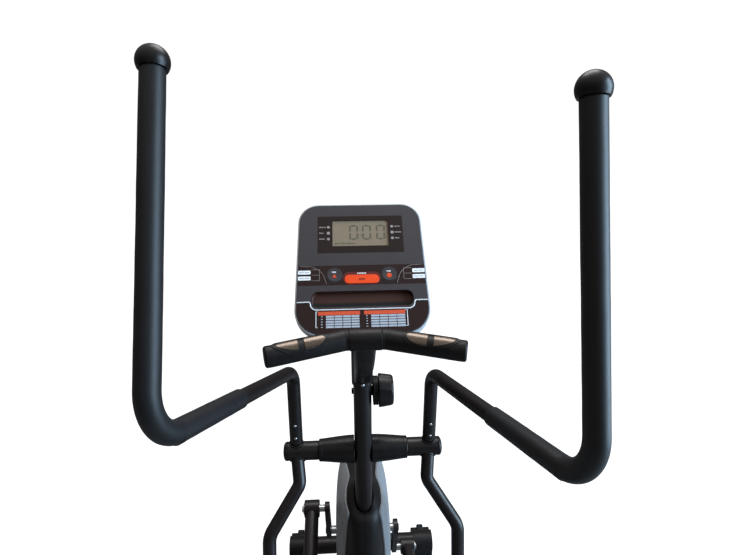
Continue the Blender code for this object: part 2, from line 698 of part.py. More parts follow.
def make_pulse_bar():
    """Bent steel tube, its two moulded grips with oval sensors, and the cover over the clamp."""
    tube = rod("pulse_bar", pulse_bar_path(0.97, overall=True), BAR_TUBE_RADIUS, BAR_TUBE_WALL)
    finish(tube, STEEL)
    cover = ring("bar_clamp_cover", -CLAMP_COVER_HALF, CLAMP_COVER_HALF, BAR_TUBE_RADIUS + GAP + GAP,
                 CLAMP_COVER_RADIUS, (0.0, PIVOT_Y + BAR_Y, BAR_Z), sides=20)
    room = rod("room", pulse_bar_path(0.97, overall=True), BAR_TUBE_RADIUS + GAP)
    cover = cut(cover, room)
    finish(cover, BLACK_PLASTIC)
    for word, side in SIDES.items():
        grip = rod("pulse_grip_" + word, pulse_bar_path(1.03, overall=True), PULSE_GRIP_RADIUS, sides=20)
        low, high = span(side, PULSE_GRIP_INNER_X, 0.3)
        keep = box("keep", (low, -1.0, 1.0), (high, 1.0, 1.5))
        grip = common(grip, keep)
        room = rod("room", pulse_bar_path(0.975, overall=True), BAR_TUBE_RADIUS + GAP)
        grip = cut(grip, room)
        finish(grip, BLACK_PLASTIC)
        make_pulse_sensor(word, side)


def make_pulse_sensor(word, side):
    """Oval sensor insert bowed over the top of the grip."""
    shell = rod("pulse_sensor_" + word, pulse_bar_path(1.0, overall=True),
                PULSE_GRIP_RADIUS + GAP + SENSOR_THICKNESS, sides=20)
    core = rod("core", pulse_bar_path(1.02, overall=True), PULSE_GRIP_RADIUS + GAP, sides=20)
    shell = cut(shell, core)
    along = math.atan2(BAR_END_Y - BAR_Y, BAR_END_X)
    outline = []
    for k in range(20):
        angle = math.tau * k / 20
        outline.append((SENSOR_LENGTH / 2 * math.cos(angle), SENSOR_WIDTH / 2 * math.sin(angle)))
    oval = prism("oval", outline, 0.0, 0.06, "Z")
    share = SENSOR_CENTRE / BAR_END_X
    centre = (side * SENSOR_CENTRE, PIVOT_Y + BAR_Y + (BAR_END_Y - BAR_Y) * share, BAR_Z + (BAR_END_Z - BAR_Z) * share)
    oval.data.transform(Matrix.Translation(centre) @ Matrix.Rotation(side * along, 4, "Z")
                        @ Matrix.Rotation(SENSOR_TURN, 4, "X"))
    shell = common(shell, oval)
    return finish(shell, STEEL)


# ---------------------------------------------------------------- tension knob
def make_tension_knob():
    """Fixed base on a spindle through the post, and the knob that turns on it."""
    axis = empty("knob_axis", (0.0, PIVOT_Y, KNOB_Z))
    post_face = POST_WIDTH / 2
    neck = KNOB_SPINDLE_RADIUS * 2
    base_end = KNOB_BASE_X + KNOB_BASE_THICKNESS
    tip = KNOB_X + KNOB_LENGTH * 0.6
    nut = KNOB_SPINDLE_RADIUS + 0.0015
    profile = [(-post_face - 0.0045, 0.0), (-post_face - 0.0045, nut), (-post_face - GAP, nut),
               (-post_face - GAP, KNOB_SPINDLE_RADIUS), (post_face - POST_WALL - 0.001, KNOB_SPINDLE_RADIUS),
               (post_face - POST_WALL - 0.001, neck), (KNOB_BASE_X, neck), (KNOB_BASE_X, KNOB_BASE_RADIUS),
               (base_end, KNOB_BASE_RADIUS), (base_end, KNOB_SPINDLE_RADIUS), (tip, KNOB_SPINDLE_RADIUS), (tip, 0.0)]
    base = turned("knob_base", profile, sides=ROUND)
    finish(base, BLACK_PLASTIC, axis)

    bore = KNOB_SPINDLE_RADIUS + RUN
    end = KNOB_X + KNOB_LENGTH
    profile = [(tip + 0.003, 0.0), (tip + 0.003, bore), (KNOB_X, bore), (KNOB_X, KNOB_INNER_RADIUS),
               (KNOB_X + 0.004, KNOB_INNER_RADIUS), (end - 0.004, KNOB_OUTER_RADIUS + 0.0005),
               (end, KNOB_OUTER_RADIUS - 0.004), (end, 0.0)]
    knob = turned("tension_knob", profile, sides=24)
    finish(knob, BLACK_PLASTIC, axis)


# ---------------------------------------------------------------- pivot of the swing arms
def make_pivot():
    """Axle through the post and the two tapered covers either side of it."""
    axle = shaft("pivot_axle", -PIVOT_AXLE_HALF, PIVOT_AXLE_HALF, PIVOT_AXLE_RADIUS)
    finish(axle, STEEL)
    axle.location = PIVOT
    for word, side in SIDES.items():
        start = POST_WIDTH / 2 + GAP
        end = CROSS_TUBE_HALF + 0.0005
        profile = [(start, COVER_POST_RADIUS), (end, COVER_END_RADIUS), (end, COVER_END_RADIUS - COVER_WALL),
                   (start, COVER_POST_RADIUS - COVER_WALL)]
        cover = turned("pivot_cover_" + word, [(side * along, radius) for along, radius in profile], sides=24)
        finish(cover, BLACK_PLASTIC)
        cover.location = PIVOT


# ---------------------------------------------------------------- swing arms
def arm_path():
    """Centre line of the handlebar, from the pivot sleeve to the top of the grip."""
    points = [(ARM_X, 0.0, SLEEVE_RADIUS + 0.004), UPPER_BEND, ELBOW, GRIP_TOP]
    return points, [UPPER_BEND_RADIUS, ELBOW_RADIUS]


def make_swing_arm(word, side, frame):
    """Lower arm: pivot sleeve, plug for the handlebar, flared tube and the bush at its foot."""
    hinge = Vector((side * ARM_HINGE_X, ARM_HINGE_Y, ARM_HINGE_Z))
    sleeve_low, sleeve_high = span(side, SLEEVE_INNER_X, SLEEVE_OUTER_X)
    bush_low, bush_high = span(side, HINGE_BUSH_INNER_X, HINGE_BUSH_OUTER_X)
    line = sided([(ARM_X, 0.0, 0.0), LOWER_BEND, FLARE_BEND, (ARM_HINGE_X, ARM_HINGE_Y, ARM_HINGE_Z)], side)
    path = bent(line, [LOWER_BEND_RADIUS * 0.6, LOWER_BEND_RADIUS])
    inner_line = line[:3] + [line[3] + (line[2] - line[3]).normalized() * (HINGE_BUSH_RADIUS + 0.002)]
    inner_path = bent(inner_line, [LOWER_BEND_RADIUS * 0.6, LOWER_BEND_RADIUS])

    arm = shaft("swing_arm_" + word, sleeve_low, sleeve_high, SLEEVE_RADIUS, sides=24)
    tube = rod("tube", path, ARM_TUBE_RADIUS)
    bush = shaft("bush", bush_low, bush_high, HINGE_BUSH_RADIUS, (0.0, hinge.y, hinge.z), sides=20)
    plug_radius = ARM_TUBE_RADIUS - ARM_WALL - STUB_CLEARANCE
    plug = shaft("plug", SLEEVE_RADIUS - 0.008, STUB_HEIGHT, plug_radius, (side * ARM_X, 0.0, 0.0), "Z")
    arm = join(arm, tube, bush, plug)

    hollow = rod("hollow", inner_path, ARM_TUBE_RADIUS - ARM_WALL)
    sleeve_bore = shaft("bore", sleeve_low - 0.01, sleeve_high + 0.01, SLEEVE_RADIUS - SLEEVE_WALL, sides=24)
    bush_bore = shaft("bore", bush_low - 0.01, bush_high + 0.01, HINGE_PIN_RADIUS + RUN,
                      (0.0, hinge.y, hinge.z), sides=24)
    arm = cut(arm, hollow, sleeve_bore, bush_bore)
    return finish(arm, BLACK_PAINT, frame)


def make_handlebar(word, side, frame):
    """Bent upper tube, its foam sleeve and the ball on its end."""
    points, radii = arm_path()
    path = bent(sided(points, side), radii)
    finish(rod("handlebar_" + word, path, ARM_TUBE_RADIUS, ARM_WALL), BLACK_PAINT, frame)

    bend, elbow = Vector(UPPER_BEND), Vector(ELBOW)
    start = bend + (elbow - bend) * FOAM_START
    foam_path = bent(sided([start, ELBOW, GRIP_TOP], side), [ELBOW_RADIUS])
    foam_wall = FOAM_RADIUS - ARM_TUBE_RADIUS - FOAM_CLEARANCE
    finish(rod("foam_grip_" + word, foam_path, FOAM_RADIUS, foam_wall), FOAM, frame)

    below = math.sqrt(BALL_RADIUS ** 2 - BALL_RISE ** 2)
    plug = ARM_TUBE_RADIUS - ARM_WALL - 0.0008
    profile = [(-BALL_PLUG_DEPTH, 0.0), (-BALL_PLUG_DEPTH, plug), (GAP, plug), (GAP, below)]
    first = math.acos(-(BALL_RISE - GAP) / BALL_RADIUS)
    for k in range(1, 8):
        angle = first * (1 - k / 7)
        profile.append((BALL_RISE + BALL_RADIUS * math.cos(angle), BALL_RADIUS * math.sin(angle)))
    profile[-1] = (BALL_RISE + BALL_RADIUS, 0.0)
    ball = turned("ball_cap_" + word, profile, axis="Z")
    top, below_top = sided([GRIP_TOP, ELBOW], side)
    lean = Vector((0, 0, 1)).rotation_difference(top - below_top).to_matrix().to_4x4()
    ball.data.transform(Matrix.Translation(top) @ lean)
    finish(ball, BLACK_PLASTIC, frame)


def make_pivot_ends(word, side, frame):
    """Bush in the pivot sleeve and the domed cap over its outer end."""
    bore = SLEEVE_RADIUS - SLEEVE_WALL
    low, high = span(side, SLEEVE_INNER_X + 0.002, PIVOT_AXLE_HALF - 0.003)
    bush = ring("pivot_bush_" + word, low, high, PIVOT_AXLE_RADIUS + RUN, bore - GAP, sides=24)
    finish(bush, SILVER_PLASTIC, frame)
    face = SLEEVE_OUTER_X + GAP
    profile = [(PIVOT_AXLE_HALF + 0.001, 0.0), (PIVOT_AXLE_HALF + 0.001, bore - GAP), (face, bore - GAP),
               (face, SLEEVE_RADIUS + 0.0005), (face + CAP_DOME * 0.45, SLEEVE_RADIUS),
               (face + CAP_DOME * 0.85, SLEEVE_RADIUS * 0.72), (face + CAP_DOME, SLEEVE_RADIUS * 0.35),
               (face + CAP_DOME, 0.0)]
    cap = turned("pivot_cap_" + word, [(side * along, radius) for along, radius in profile], sides=24)
    finish(cap, BLACK_PLASTIC, frame)


# ---------------------------------------------------------------- linkage at rest
def hinge_at_rest(side):
    """Foot of a swing arm at rest, in the machine."""
    turn = Matrix.Rotation(side * REST_SWING, 3, "X")
    return PIVOT + turn @ Vector((0.0, ARM_HINGE_Y, ARM_HINGE_Z))


def crank_direction():
    """Direction of the left crank pin from the crank axle, so both pedal bars have one length."""
    left, right = hinge_at_rest(-1.0), hinge_at_rest(1.0)
    towards = 2 * CRANK_CENTRE - left - right
    difference = (CRANK_CENTRE - right).length_squared - (CRANK_CENTRE - left).length_squared
    angle = math.atan2(towards.z, towards.y) + math.acos(difference / (2 * CRANK_RADIUS) / towards.length)
    return Vector((0.0, math.cos(angle), math.sin(angle)))


def crank_pin_at_rest(side):
    """Crank pin of one side at rest, in the centre plane."""
    return CRANK_CENTRE - side * CRANK_RADIUS * crank_direction()


# ---------------------------------------------------------------- pedal bars
def make_pedal_bar(word, side):
    """Bar from crank pin to swing arm and on to the pedal, drawn with its front end along +Y."""
    hinge = hinge_at_rest(side)
    pin = crank_pin_at_rest(side)
    reach = (pin - hinge).length
    frame = empty("pedal_frame_" + word, hinge, math.atan2(pin.z - hinge.z, pin.y - hinge.y))
    x = side * PEDAL_BAR_X
    tail = Vector((x, -PEDAL_BAR_TAIL * math.cos(PEDAL_BAR_BEND), PEDAL_BAR_TAIL * math.sin(PEDAL_BAR_BEND)))
    path = bent([(x, reach, 0.0), (x, 0.0, 0.0), tail], [0.25], step=math.radians(4))
    bar = rod("pedal_bar_" + word, path, PEDAL_BAR_RADIUS)
    low, high = span(side, PEDAL_BAR_X - BAR_EYE_HALF, PEDAL_BAR_X + BAR_EYE_HALF)
    eye = shaft("eye", low, high, BAR_EYE_RADIUS, (0.0, reach, 0.0), sides=20)
    pin_low, pin_high = span(side, PEDAL_BAR_X, HINGE_BUSH_OUTER_X + 0.006)
    hinge_pin = shaft("pin", pin_low, pin_high, HINGE_PIN_RADIUS)
    collar_low, collar_high = span(side, PEDAL_BAR_X, HINGE_BUSH_INNER_X - 0.0008)
    collar = shaft("collar", collar_low, collar_high, HINGE_PIN_RADIUS + 0.005)
    bar = join(bar, eye, hinge_pin, collar)
    beyond = tail + (tail - Vector((x, 0.0, 0.0))).normalized() * 0.01
    inside = bent([(x, reach - BAR_EYE_RADIUS - 0.003, 0.0), (x, 0.0, 0.0), beyond], [0.25], step=math.radians(4))
    hollow = rod("hollow", inside, PEDAL_BAR_RADIUS - PEDAL_BAR_WALL)
    eye_bore = shaft("bore", low - 0.01, high + 0.01, CRANK_PIN_RADIUS + GAP, (0.0, reach, 0.0))
    bar = cut(bar, hollow, eye_bore)
    finish(bar, BLACK_PAINT, frame)

    pin_low, pin_high = span(side, CRANK_OUTER_X + CRANK_PIN_GAP, PEDAL_BAR_X + BAR_EYE_HALF + 0.008)
    bolt = shaft("crank_pin_" + word, pin_low, pin_high, CRANK_PIN_RADIUS, (0.0, reach, 0.0))
    finish(bolt, STEEL, frame)
    make_pedal(word, side, frame)


def make_pedal(word, side, frame):
    """Moulded foot tray with a raised lip, on top of the pedal bar's tail."""
    half_length, half_width = PEDAL_LENGTH / 2, PEDAL_WIDTH / 2
    corners = [(-half_width, -half_length), (half_width, -half_length),
               (half_width, half_length), (-half_width, half_length)]
    base = -PEDAL_BASE
    tray = prism("pedal_" + word, rounded(corners, PEDAL_CORNER), base, PEDAL_LIP, "Z")
    inner = rounded(grown(corners, -PEDAL_WALL), PEDAL_CORNER - PEDAL_WALL)
    tray = cut(tray, prism("inside", inner, 0.0, PEDAL_LIP + 0.01, "Z"))
    lift = PEDAL_BAR_RADIUS + PEDAL_BASE + GAP
    place = (Matrix.Translation((side * PEDAL_BAR_X, 0.0, 0.0)) @ Matrix.Rotation(-PEDAL_BAR_BEND, 4, "X")
             @ Matrix.Translation((0.0, PEDAL_CENTRE, lift)))
    tray.data.transform(place)
    finish(tray, BLACK_PLASTIC, frame)


# ---------------------------------------------------------------- drive
def make_crank_set():
    """Crank axle, its pulley and the two crank arms, half a turn apart."""
    direction = crank_direction()
    frame = empty("crank_frame", CRANK_CENTRE, math.atan2(direction.z, direction.y))
    axle = shaft("crank_axle", -CRANK_OUTER_X - 0.001, CRANK_OUTER_X + 0.001, CRANK_AXLE_RADIUS)
    finish(axle, STEEL, frame)
    bore = CRANK_AXLE_RADIUS + GAP
    hub = 0.030
    middle = PULLEY_X + PULLEY_WIDTH / 2
    end = PULLEY_X + PULLEY_WIDTH
    profile = [(PULLEY_X, bore), (PULLEY_X, hub), (middle - 0.002, hub), (middle - 0.002, PULLEY_RADIUS - 0.010),
               (PULLEY_X, PULLEY_RADIUS - 0.010), (PULLEY_X, PULLEY_RADIUS), (end, PULLEY_RADIUS),
               (end, PULLEY_RADIUS - 0.010), (middle + 0.002, PULLEY_RADIUS - 0.010), (middle + 0.002, hub),
               (end, hub), (end, bore)]
    pulley = turned("crank_pulley", profile, sides=28)
    finish(pulley, BLACK_PLASTIC, frame)
    for word, side in SIDES.items():
        low, high = span(side, CRANK_INNER_X, CRANK_OUTER_X)
        outline = []
        for centre, radius, first in ((0.0, 0.024, 90.0), (CRANK_RADIUS, 0.018, -90.0)):
            for k in range(9):
                angle = math.radians(first + 22.5 * k)
                outline.append((-side * (centre + radius * math.cos(angle)), radius * math.sin(angle)))
        crank = prism("crank_" + word, outline, low, high)
        crank = cut(crank, shaft("bore", low - 0.01, high + 0.01, bore))
        finish(crank, BLACK_PAINT, frame)


def make_flywheel():
    """Cast flywheel and its axle with the small belt pulley."""
    frame = empty("flywheel_frame", FLYWHEEL_CENTRE)
    bore = FLYWHEEL_AXLE_RADIUS + GAP
    half = FLYWHEEL_WIDTH / 2
    web = 0.005
    hub_half = FORK_INNER_X - 0.002
    profile = [(-hub_half, bore), (-hub_half, 0.020), (-web, 0.020), (-web, 0.075), (-half, 0.075),
               (-half, FLYWHEEL_RADIUS), (half, FLYWHEEL_RADIUS), (half, 0.075), (web, 0.075), (web, 0.020),
               (hub_half, 0.020), (hub_half, bore)]
    finish(turned("flywheel", profile, sides=28), CAST_IRON, frame)
    left = -FORK_INNER_X - FORK_THICKNESS - 0.004
    right = PULLEY_X + PULLEY_WIDTH
    profile = [(left, 0.0), (left, FLYWHEEL_AXLE_RADIUS), (PULLEY_X, FLYWHEEL_AXLE_RADIUS),
               (PULLEY_X, DRIVE_PULLEY_RADIUS), (right, DRIVE_PULLEY_RADIUS), (right, 0.0)]
    finish(turned("flywheel_axle", profile), STEEL, frame)


def belt_outline(extra):
    """Side view of the belt loop round both pulleys, at a distance from their rims."""
    big, small = PULLEY_RADIUS + extra, DRIVE_PULLEY_RADIUS + extra
    line = FLYWHEEL_CENTRE - CRANK_CENTRE
    heading = math.atan2(line.z, line.y)
    lean = math.acos((big - small) / line.length)
    outline = []
    for centre, radius, first, last, steps in (
            (CRANK_CENTRE, big, heading + lean, heading + math.tau - lean, 30),
            (FLYWHEEL_CENTRE, small, heading - lean, heading + lean, 8)):
        for k in range(steps + 1):
            angle = first + (last - first) * k / steps
            outline.append((centre.y + radius * math.cos(angle), centre.z + radius * math.sin(angle)))
    return outline


def make_belt():
    """Flat belt loop."""
    low = PULLEY_X + (PULLEY_WIDTH - BELT_WIDTH) / 2
    clear = 0.0012
    belt = prism("drive_belt", belt_outline(clear + BELT_THICKNESS), low, low + BELT_WIDTH)
    inside = prism("inside", belt_outline(clear), low - 0.01, low + BELT_WIDTH + 0.01)
    return finish(cut(belt, inside), RUBBER)


def brake_pivot():
    """Hinge of the magnet brake, above the flywheel."""
    radius = FLYWHEEL_RADIUS + MAGNET_GAP + MAGNET_THICKNESS / 2
    return FLYWHEEL_CENTRE + Vector((0.0, radius * math.cos(BRAKE_PIVOT_ANGLE), radius * math.sin(BRAKE_PIVOT_ANGLE)))


def make_brake():
    """Magnet carrier curved over the flywheel rim, with its hinge eye."""
    pivot = brake_pivot()
    inner = FLYWHEEL_RADIUS + MAGNET_GAP
    outer = inner + MAGNET_THICKNESS
    outline = []
    for radius, order in ((inner, range(9)), (outer, range(8, -1, -1))):
        for k in order:
            angle = MAGNET_FIRST + (BRAKE_PIVOT_ANGLE - math.radians(3) - MAGNET_FIRST) * k / 8
            outline.append((radius * math.cos(angle), radius * math.sin(angle)))
    half = MAGNET_WIDTH / 2
    brake = prism("magnet_brake", outline, -half, half)
    brake.data.transform(Matrix.Translation(FLYWHEEL_CENTRE - pivot))
    eye = shaft("eye", -half, half, BRAKE_PIN_RADIUS + 0.0045, sides=ROUND)
    brake = join(brake, eye)
    brake = cut(brake, shaft("bore", -half - 0.01, half + 0.01, BRAKE_PIN_RADIUS + RUN, sides=ROUND))
    finish(brake, STEEL)
    brake.location = pivot
    return brake


def cable_exit_z():
    """Height at which the brake cable leaves the post inside the shroud."""
    return SHROUD_TOP_Z - 0.055


def make_brake_cable():
    """Cable from the knob down inside the post, out of it, and to the end of the magnet carrier."""
    inner_x = 0.0
    exit_z = cable_exit_z()
    outer = FLYWHEEL_RADIUS + MAGNET_GAP + MAGNET_THICKNESS
    end = FLYWHEEL_CENTRE + Vector((0.0, (outer + 0.012) * math.cos(MAGNET_LAST),
                                    (outer + 0.012) * math.sin(MAGNET_LAST)))
    top = KNOB_Z - KNOB_SPINDLE_RADIUS - 0.004
    points = [(inner_x, PIVOT_Y + 0.026, top), (inner_x, PIVOT_Y + 0.026, PIVOT_Z),
              (inner_x, PIVOT_Y + 0.026, exit_z), (inner_x, PIVOT_Y + 0.070, exit_z - 0.004),
              (inner_x, end.y - 0.030, end.z + 0.030), tuple(end)]
    path = bent(points, [0.2, 0.020, 0.020, 0.020])
    return finish(rod("brake_cable", path, 0.0025, sides=8), RUBBER)


# ---------------------------------------------------------------- shroud
def shroud_sections():
    """Rows of (height, half width, rear, front) of the shroud from its foot to its collar, from the pivot."""
    top, bottom = SHROUD_TOP_Z, SHROUD_BOTTOM_Z
    collar_y, collar_x = POST_DEPTH / 2 + 0.0045, POST_WIDTH / 2 + 0.0040
    belly = FLYWHEEL_Y + FLYWHEEL_RADIUS
    return [(bottom, 0.062, -0.052, belly - 0.045), (0.205, 0.071, -0.076, belly + 0.014),
            (0.280, 0.0765, -0.090, belly + 0.046), (0.360, 0.078, -0.095, belly + 0.052),
            (0.440, 0.0765, -0.093, belly + 0.034), (0.510, 0.0725, -0.087, belly - 0.022),
            (0.565, 0.067, -0.078, belly - 0.114), (0.605, 0.0605, -0.069, 0.212),
            (top - 0.050, 0.0535, -0.061, 0.130), (top - 0.030, 0.0450, -0.053, 0.086),
            (top - 0.013, 0.0350, -0.047, 0.060), (top, collar_x, -collar_y, collar_y)]


def shroud_point(section, angle):
    """Point of the shroud's surface on a section, round from the front (0) to the rear (pi)."""
    z, half_width, rear, front = section
    cos_a, sin_a = math.cos(angle), max(math.sin(angle), 0.0)
    y = (front + rear) / 2 + (front - rear) / 2 * math.copysign(abs(cos_a) ** 0.8, cos_a)
    near_top = max(0.0, 1 - (SHROUD_TOP_Z - z) / 0.080)
    drop = SHROUD_TOP_DROP * near_top ** 2 * (1 - cos_a) / 2
    return half_width * sin_a ** 0.8, PIVOT_Y + y, z - drop


def shroud_patch(name, side, sections, angles, out, wall):
    """Sheet of the shroud's surface over some sections and angles, moved out, with a wall inwards."""
    bm = bmesh.new()
    rows = []
    for section in sections:
        row = []
        for angle in angles:
            x, y, z = shroud_point(section, angle)
            row.append(bm.verts.new((side * x, y, z)))
        rows.append(row)
    for lower, upper in zip(rows, rows[1:]):
        for i in range(len(angles) - 1):
            corners = [lower[i], upper[i], upper[i + 1], lower[i + 1]]
            bm.faces.new(corners if side > 0 else corners[::-1])
    bm.normal_update()
    for vert in bm.verts:
        vert.co += vert.normal * out
    mesh = bpy.data.meshes.new(name)
    bm.to_mesh(mesh)
    bm.free()
    sheet = link(name, mesh)
    modifier = sheet.modifiers.new("wall", "SOLIDIFY")
    modifier.thickness = wall
    modifier.offset = -1.0
    return settle(sheet)


def make_shroud():
    """Two black shroud halves that meet on the centre plane, with a grey panel on each side."""
    sections = shroud_sections()
    angles = [math.pi * k / SHROUD_FACETS for k in range(SHROUD_FACETS + 1)]
    for word, side in SIDES.items():
        shell = shroud_patch("shroud_" + word, side, sections, angles, 0.0, SHROUD_WALL)
        panel = shroud_patch("side_panel_" + word, side, sections[1:-2], angles[3:-3],
                             PANEL_WALL + PANEL_CLEARANCE, PANEL_WALL)
        low, high = span(side, GAP, 0.2)
        keep = box("keep", (low, -0.5, 0.0), (high, 1.0, 1.0))
        shell = common(shell, keep)
        low, high = span(side, 0.03, 0.2)
        for piece in (shell, panel):
            cut(piece, shaft("hole", low, high, CRANK_HOLE_RADIUS, CRANK_CENTRE, sides=24))
        finish(shell, BLACK_PLASTIC)
        finish(panel, SILVER_PLASTIC)


# ---------------------------------------------------------------- console
def console_corners():
    """Corners of the console face before rounding, anticlockwise from the lower left."""
    return [(-CONSOLE_BOTTOM_HALF, CONSOLE_BOTTOM), (CONSOLE_BOTTOM_HALF, CONSOLE_BOTTOM),
            (CONSOLE_TOP_HALF, CONSOLE_TOP), (-CONSOLE_TOP_HALF, CONSOLE_TOP)]


def console_outline(out):
    """Rounded outline of the console face, moved out by a distance."""
    radii = [CONSOLE_BOTTOM_CORNER, CONSOLE_BOTTOM_CORNER, CONSOLE_TOP_CORNER, CONSOLE_TOP_CORNER]
    return rounded(grown(console_corners(), out), [radius + out for radius in radii], steps=6)


def make_console():
    """Face with its tray, back shell, lens, display and three sprung buttons."""
    frame = empty("console_frame", console_point(0.0, 0.0, 0.0), math.pi / 2 - CONSOLE_TILT)
    face = prism("console_front", console_outline(0.0), -FACE_DEPTH, 0.0, "Z")
    face = cut(face, prism("inside", console_outline(-CONSOLE_WALL), -FACE_DEPTH - 0.01, -CONSOLE_WALL, "Z"))
    wall = 0.002
    tub_corners = [(-TRAY_HALF, TRAY_BOTTOM), (TRAY_HALF, TRAY_BOTTOM), (TRAY_HALF, TRAY_TOP), (-TRAY_HALF, TRAY_TOP)]
    tub = prism("tub", rounded(grown(tub_corners, wall), 0.012 + wall), -TRAY_DEPTH - wall, -CONSOLE_WALL / 2, "Z")
    face = join(face, tub)
    tray = prism("tray", rounded(tub_corners, 0.012), -TRAY_DEPTH, 0.01, "Z")
    lens_seat = box("seat", (-LENS_HALF - GAP, LENS_BOTTOM - GAP, -LENS_THICKNESS - GAP),
                    (LENS_HALF + GAP, LENS_TOP + GAP, 0.01))
    window = box("window", (-DISPLAY_HALF, DISPLAY_BOTTOM, -0.02), (DISPLAY_HALF, DISPLAY_TOP, 0.01))
    face = cut(face, tray, lens_seat, window)
    for x in (-ROUND_BUTTON_X, ROUND_BUTTON_X):
        face = cut(face, shaft("hole", -0.02, 0.01, ROUND_BUTTON_RADIUS + RUN, (x, ROUND_BUTTON_V, 0.0), "Z",
                               sides=24))
    face = cut(face, prism("hole", mode_button_outline(RUN), -0.02, 0.01, "Z"))
    finish(face, CONSOLE_GREY, frame)

    lip = CONSOLE_WALL + GAP
    straight = -FACE_DEPTH - 0.002
    back = lofted("console_back", [(console_outline(lip), BACK_LIP), (console_outline(lip), straight),
                                   (console_outline(lip - BACK_TAPER), -BACK_DEPTH)])
    inner_rear = -BACK_DEPTH + CONSOLE_WALL
    hollow = lofted("hollow", [(console_outline(GAP), BACK_LIP + 0.01), (console_outline(GAP), straight),
                               (console_outline(GAP - BACK_TAPER), inner_rear)])
    finish(cut(back, hollow), SILVER_PLASTIC, frame)

    lens = box("display_lens", (-LENS_HALF, LENS_BOTTOM, -LENS_THICKNESS), (LENS_HALF, LENS_TOP, 0.0))
    finish(lens, LENS_BROWN, frame)
    display = box("display_module", (-DISPLAY_HALF - 0.006, DISPLAY_BOTTOM - 0.008, -CONSOLE_WALL - 0.010),
                  (DISPLAY_HALF + 0.006, DISPLAY_TOP + 0.006, -CONSOLE_WALL - GAP))
    finish(display, DISPLAY_GREEN, frame)

    flange_high = -CONSOLE_WALL - GAP
    flange_low = flange_high - BUTTON_FLANGE
    for name, x in (("button_set", -ROUND_BUTTON_X), ("button_reset", ROUND_BUTTON_X)):
        seat = empty(name + "_seat", (x, ROUND_BUTTON_V, 0.0), parent=frame)
        profile = [(flange_low, 0.0), (flange_low, ROUND_BUTTON_RADIUS + 0.002),
                   (flange_high, ROUND_BUTTON_RADIUS + 0.002), (flange_high, ROUND_BUTTON_RADIUS),
                   (BUTTON_PROUD, ROUND_BUTTON_RADIUS), (BUTTON_PROUD, 0.0)]
        finish(turned(name, profile, axis="Z", sides=24), BLACK_PLASTIC, seat)
    seat = empty("button_mode_seat", (0.0, 0.0, 0.0), parent=frame)
    mode = prism("button_mode", mode_button_outline(0.0), flange_low, BUTTON_PROUD, "Z")
    flange = prism("flange", mode_button_outline(0.002), flange_low, flange_high, "Z")
    finish(join(mode, flange), ORANGE, seat)


def mode_button_outline(out):
    """Oblong outline of the middle button."""
    half = MODE_BUTTON_HEIGHT / 2
    low, high = MODE_BUTTON_V - half, MODE_BUTTON_V + half
    corners = [(-MODE_BUTTON_HALF, low), (MODE_BUTTON_HALF, low), (MODE_BUTTON_HALF, high), (-MODE_BUTTON_HALF, high)]
    return rounded(grown(corners, out), half * 0.9 + out, steps=5)


# ---------------------------------------------------------------- assembly
def build():
    """Make every sub-part."""
    clear_scene()
    make_main_frame()
    make_stabiliser("front_stabiliser", FRONT_STABILISER_Y)
    make_stabiliser("rear_stabiliser", REAR_STABILISER_Y)
    make_feet()
    make_upright()
    make_stem()
    make_pulse_bar()
    make_tension_knob()
    make_pivot()
    for word, side in SIDES.items():
        frame = empty("arm_frame_" + word, PIVOT, side * REST_SWING)
        make_swing_arm(word, side, frame)
        make_handlebar(word, side, frame)
        make_pivot_ends(word, side, frame)
        make_pedal_bar(word, side)
    make_crank_set()
    make_flywheel()
    make_belt()
    make_brake()
    make_brake_cable()
    make_shroud()
    make_console()


build()
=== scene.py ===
# %% [markdown]
# # An elliptical trainer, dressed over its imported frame
# The machine is a front-drive elliptical trainer: an oval post on a floor frame, two swing arms with
# long foam grips, a console, a pulse bar and a shroud over the drive. Its solids, joints and sizes are
# fixed already. This lesson gives each visible piece its real shape and finish, and leaves the hidden
# drive as it is, with better materials. Everything is in metres: X to the user's right, Y away from
# the user, Z up.

# %% Load the frame and note its size
import math

import bmesh
import bpy
from mathutils import Matrix, Vector


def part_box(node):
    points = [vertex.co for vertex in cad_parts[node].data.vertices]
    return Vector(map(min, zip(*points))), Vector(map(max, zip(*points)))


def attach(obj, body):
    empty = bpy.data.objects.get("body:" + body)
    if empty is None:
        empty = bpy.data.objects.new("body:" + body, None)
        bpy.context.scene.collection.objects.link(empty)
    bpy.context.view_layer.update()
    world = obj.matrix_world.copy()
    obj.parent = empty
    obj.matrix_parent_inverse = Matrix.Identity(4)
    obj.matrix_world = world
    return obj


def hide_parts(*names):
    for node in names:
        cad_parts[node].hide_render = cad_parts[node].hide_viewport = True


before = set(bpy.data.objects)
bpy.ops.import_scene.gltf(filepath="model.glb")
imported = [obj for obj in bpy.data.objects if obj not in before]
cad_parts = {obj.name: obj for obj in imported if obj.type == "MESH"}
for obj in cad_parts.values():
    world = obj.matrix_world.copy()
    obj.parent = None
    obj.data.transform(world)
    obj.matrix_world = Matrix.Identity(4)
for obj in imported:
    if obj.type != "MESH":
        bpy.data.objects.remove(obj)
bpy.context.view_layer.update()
bpy.ops.object.select_all(action="DESELECT")

# %% [markdown]
# ## Where things are
# Two centres are read from the frame: the swing arms' pivot and the crank's axle. The bends of the
# tubes are the same points that the solids were bent at. At rest the left arm is a little forward and
# the right arm as far back, so each arm has its own placing matrix.

# %% Centres and placing matrices
SIDES = {"left": -1.0, "right": 1.0}


def middle(node):
    """Middle of a node's box."""
    low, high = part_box(node)
    return (low + high) / 2


